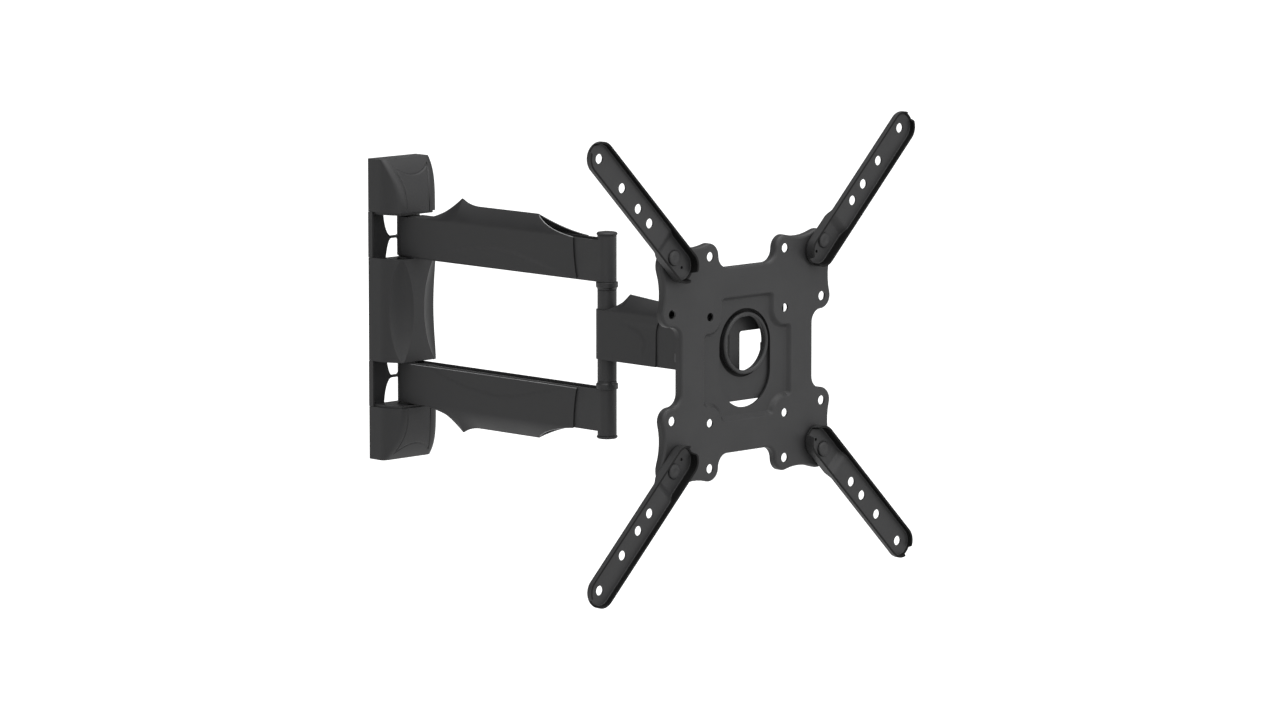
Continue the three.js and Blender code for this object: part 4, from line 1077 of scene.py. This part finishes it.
# ---------------------------------------------------------------- extension arms
def arm_outline(radius):
    """Racetrack outline of an arm along +X, anticlockwise, with points along its sides."""
    count = int((ARM_TIP + ARM_ROOT) / 2.5)
    straight = [-ARM_ROOT + 2.5 * i for i in range(count + 1)]
    straight = [x for x in straight if abs(x - ARM_TIP) > 0.5]
    loop = [(x, -radius) for x in straight]
    loop += arc(ARM_TIP, 0, radius, -math.pi / 2, math.pi / 2, 32)
    loop += [(x, radius) for x in reversed(straight)]
    loop += arc(-ARM_ROOT, 0, radius, math.pi / 2, 1.5 * math.pi, 32)[1:-1]
    return tidy_loop(loop)


def floor_y(x):
    """Y of the back of an arm's floor, which steps away from the plate past the root."""
    return ARM_ROOT_BACK + (ARM_BACK - ARM_ROOT_BACK) * ease((x - STEP_START) / (STEP_END - STEP_START))


def rim_y(x, z):
    """Y of the rim's edge, cut down in the middle of the root and the tip."""
    if -ARM_ROOT < x < ARM_TIP:
        return ARM_FRONT
    part = clamp((abs(z) - RIM_GAP_HALF) / RIM_GAP_ROUND)
    low = floor_y(x) - ARM_BEND - 0.2
    return low + (ARM_FRONT - low) * math.sqrt(1 - (1 - part) ** 2)


def extension_arm(corner, across, up):
    """One channel-shaped arm: floor with holes and a step, and a rim all round with a gap at each end."""
    outer = arm_outline(ARM_HALF_WIDTH)
    rows = []
    for part in (0.0, 0.25, 0.5, 0.75, 1.0):
        row = []
        for x, z in outer:
            rim = rim_y(x, z)
            row.append((x, rim + (floor_y(x) - ARM_BEND - rim) * part, z))
        rows.append(row)
    for inset, forward in bend(6, ARM_BEND)[1:]:
        inner = arm_outline(ARM_HALF_WIDTH - inset)
        rows.append([(x, floor_y(ox) - ARM_BEND + forward, z) for (x, z), (ox, _) in zip(inner, outer)])
    surface = Surface()
    surface.patch(rows, closed=True)
    width = ARM_HALF_WIDTH - ARM_BEND
    holes = [circle(reach, 0, ARM_HOLE_RADIUS) for reach in ARM_HOLES]
    holes.append(circle(-DETENT, 0, DETENT_RADIUS, 20))
    holes.append(circle(0, 0, PIVOT_HOLE_RADIUS, 24))
    creases = [STEP_START + (STEP_END - STEP_START) * i / 8 for i in range(9)]
    lines = [[(x, -width), (x, width)] for x in creases]
    surface.fill([arm_outline(width)] + holes, lambda x, z: (x, floor_y(x), z), lines)
    angle = math.atan2(up, across)
    turn = Matrix.Translation((across * ARM_PIVOT, 0, up * ARM_PIVOT)) @ Matrix.Rotation(-angle, 4, "Y")
    name = f"extension_channel_{corner}"
    node = f"extension_arm_{corner}"
    piece = surface.finish(name, node, f"screen_arm_{corner}", "powder_coated_steel", (0, 1, 0), turn)
    # The sheet's back and rim take the slot after their face's own: slot 1 behind 0, and 3 behind 2
    # Slot 1 is painted shade: the channel's inner walls and rim edges get the near-black dull coat in place of the
    # shadow inside the channel
    for coat in (SHADE_PAINTED_COAT, MATERIALS["powder_coated_steel"], MATERIALS["powder_coated_steel"]):
        piece.data.materials.append(coat)
    for face in piece.data.polygons:
        face.material_index = 2 if face.normal.y > 0.75 else 0
    smooth(piece, 40)
    thicken(piece, ARM_SHEET)
    piece.modifiers["sheet"].material_offset = 1
    piece.modifiers["sheet"].material_offset_rim = 1
    soften(piece, 0.25, 2, 40)


def rivet(corner, across, up):
    """The rivet an arm turns on: a domed head with a dimple, a shank and a peened tail."""
    floor = ARM_ROOT_BACK - ARM_SHEET
    head = floor - 0.3
    tail = PLATE_FRONT + PLATE_SHEET + 0.3
    profile = [(0, head - 1.9), (2.6, head - 1.9), (3.4, head - 2.2), (5.6, head - 2.05), (6.9, head - 1.5)]
    profile += [(RIVET_RADIUS, head - 0.7), (RIVET_RADIUS, head), (RIVET_SHANK, head), (RIVET_SHANK, tail)]
    profile += [(5.5, tail), (5.5, tail + 0.8), (4.4, tail + 1.6), (0, tail + 1.8)]
    rows = []
    for radius, y in profile:
        ring = circle(across * ARM_PIVOT, up * ARM_PIVOT, max(radius, 1e-4))
        rows.append([(x, y, z) for x, z in ring])
    surface = Surface()
    surface.patch(rows, closed=True)
    name = f"rivet_{corner}"
    piece = surface.finish(name, f"arm_rivet_{corner}", "tilt_head", "powder_coated_steel", (0, -1, 0))
    smooth(piece, 30)
    soften(piece, 0.2, 2, 30)


# ---------------------------------------------------------------- CAD nodes that stay
def dress_nodes():
    """Gives every CAD node its slot's material, rounded edges and smooth shading."""
    slots = {part["node"]: part["material_slot"] for part in frame["record"]["subparts"]}
    for name, node in frame["nodes"].items():
        node.data.materials.clear()
        node.data.materials.append(MATERIALS[slots[name]])
        weld = node.modifiers.new("weld", "WELD")
        weld.merge_threshold = 0.00001
        soften(node, 0.4, 2, 32)


# ---------------------------------------------------------------- stage, light and camera
def lamp_panel(name, place, aim, side, watts):
    """A soft square lamp that faces a point."""
    data = bpy.data.lights.new(name, "AREA")
    data.shape = "SQUARE"
    data.size = side
    data.energy = watts
    lamp = bpy.data.objects.new(name, data)
    lamp.location = place
    lamp.rotation_euler = (Vector(aim) - Vector(place)).to_track_quat("-Z", "Y").to_euler()
    bpy.context.scene.collection.objects.link(lamp)


def pale_stage():
    """A wide pale floor well under the mount, which curves up far away."""
    mesh = bmesh.new()
    rings = []
    for radius, rise in FLOOR_RINGS:
        ring = circle(0, 0, radius, FLOOR_SEGMENTS)
        rings.append([mesh.verts.new((x, y, FLOOR_Z + rise)) for x, y in ring])
    mesh.faces.new(rings[0])
    for inner, outer in zip(rings, rings[1:]):
        for i in range(FLOOR_SEGMENTS):
            j = (i + 1) % FLOOR_SEGMENTS
            mesh.faces.new((inner[i], inner[j], outer[j], outer[i]))
    data = bpy.data.meshes.new("floor")
    mesh.to_mesh(data)
    mesh.free()
    floor = bpy.data.objects.new("floor", data)
    bpy.context.scene.collection.objects.link(floor)
    material = bpy.data.materials.new("pale_floor")
    material.use_nodes = True
    shader = material.node_tree.nodes["Principled BSDF"]
    shader.inputs["Base Color"].default_value = (0.15, 0.15, 0.15, 1)
    shader.inputs["Roughness"].default_value = 0.9
    shader.inputs["Emission Color"].default_value = (1, 1, 1, 1)
    shader.inputs["Emission Strength"].default_value = 1.0
    floor.data.materials.append(material)


def white_surroundings(fades):
    """White all round, with a strength that goes from low to high along each of two directions."""
    world = bpy.data.worlds.new("surroundings")
    world.use_nodes = True
    tree = world.node_tree
    background = tree.nodes["Background"]
    background.inputs["Color"].default_value = (1, 1, 1, 1)
    place = tree.nodes.new("ShaderNodeTexCoord")
    factors = []
    for direction, low, high in fades:
        along = tree.nodes.new("ShaderNodeVectorMath")
        along.operation = "DOT_PRODUCT"
        along.inputs[1].default_value = direction
        fade = tree.nodes.new("ShaderNodeMapRange")
        fade.inputs["From Min"].default_value = 0.05
        fade.inputs["From Max"].default_value = 0.9
        fade.inputs["To Min"].default_value = low
        fade.inputs["To Max"].default_value = high
        tree.links.new(place.outputs["Generated"], along.inputs[0])
        tree.links.new(along.outputs["Value"], fade.inputs["Value"])
        factors.append(fade.outputs["Result"])
    both = tree.nodes.new("ShaderNodeMath")
    both.operation = "MULTIPLY"
    tree.links.new(factors[0], both.inputs[0])
    tree.links.new(factors[1], both.inputs[1])
    tree.links.new(both.outputs["Value"], background.inputs["Strength"])
    bpy.context.scene.world = world


def camera():
    """The viewpoint: from the left front, slightly above, with a long lens."""
    level = math.cos(CAMERA_ELEVATION)
    back = Vector((
        math.sin(CAMERA_AZIMUTH) * level,
        -math.cos(CAMERA_AZIMUTH) * level,
        math.sin(CAMERA_ELEVATION),
    ))
    data = bpy.data.cameras.new("camera")
    data.sensor_width = 36
    data.lens = CAMERA_LENS
    data.clip_end = 100
    view = bpy.data.objects.new("camera", data)
    view.location = Vector(CAMERA_AIM) + back * CAMERA_DISTANCE
    view.rotation_euler = (-back).to_track_quat("-Z", "Y").to_euler()
    bpy.context.scene.collection.objects.link(view)
    bpy.context.scene.camera = view


# ---------------------------------------------------------------- the whole scene
dress_nodes()
cap("top_cap_shell", "top_cap", "wall_bracket", None)
cap("bottom_cap_shell", "bottom_cap", "wall_bracket", TURNED_OVER)
middle_cover()
arm_cover("upper_arm_cover_shell", "upper_arm_cover", None)
arm_cover("lower_arm_cover_shell", "lower_arm_cover", TURNED_OVER)
forearm_cover()
screen_plate()
tilt_bracket()
for corner, (across, up) in CORNERS.items():
    extension_arm(corner, across, up)
    rivet(corner, across, up)

pale_stage()
white_surroundings(SKY_FADES)
for name, place, aim, side, watts in LAMPS:
    lamp_panel(name, place, aim, side, watts)
bpy.context.scene.view_settings.view_transform = "Standard"
camera()
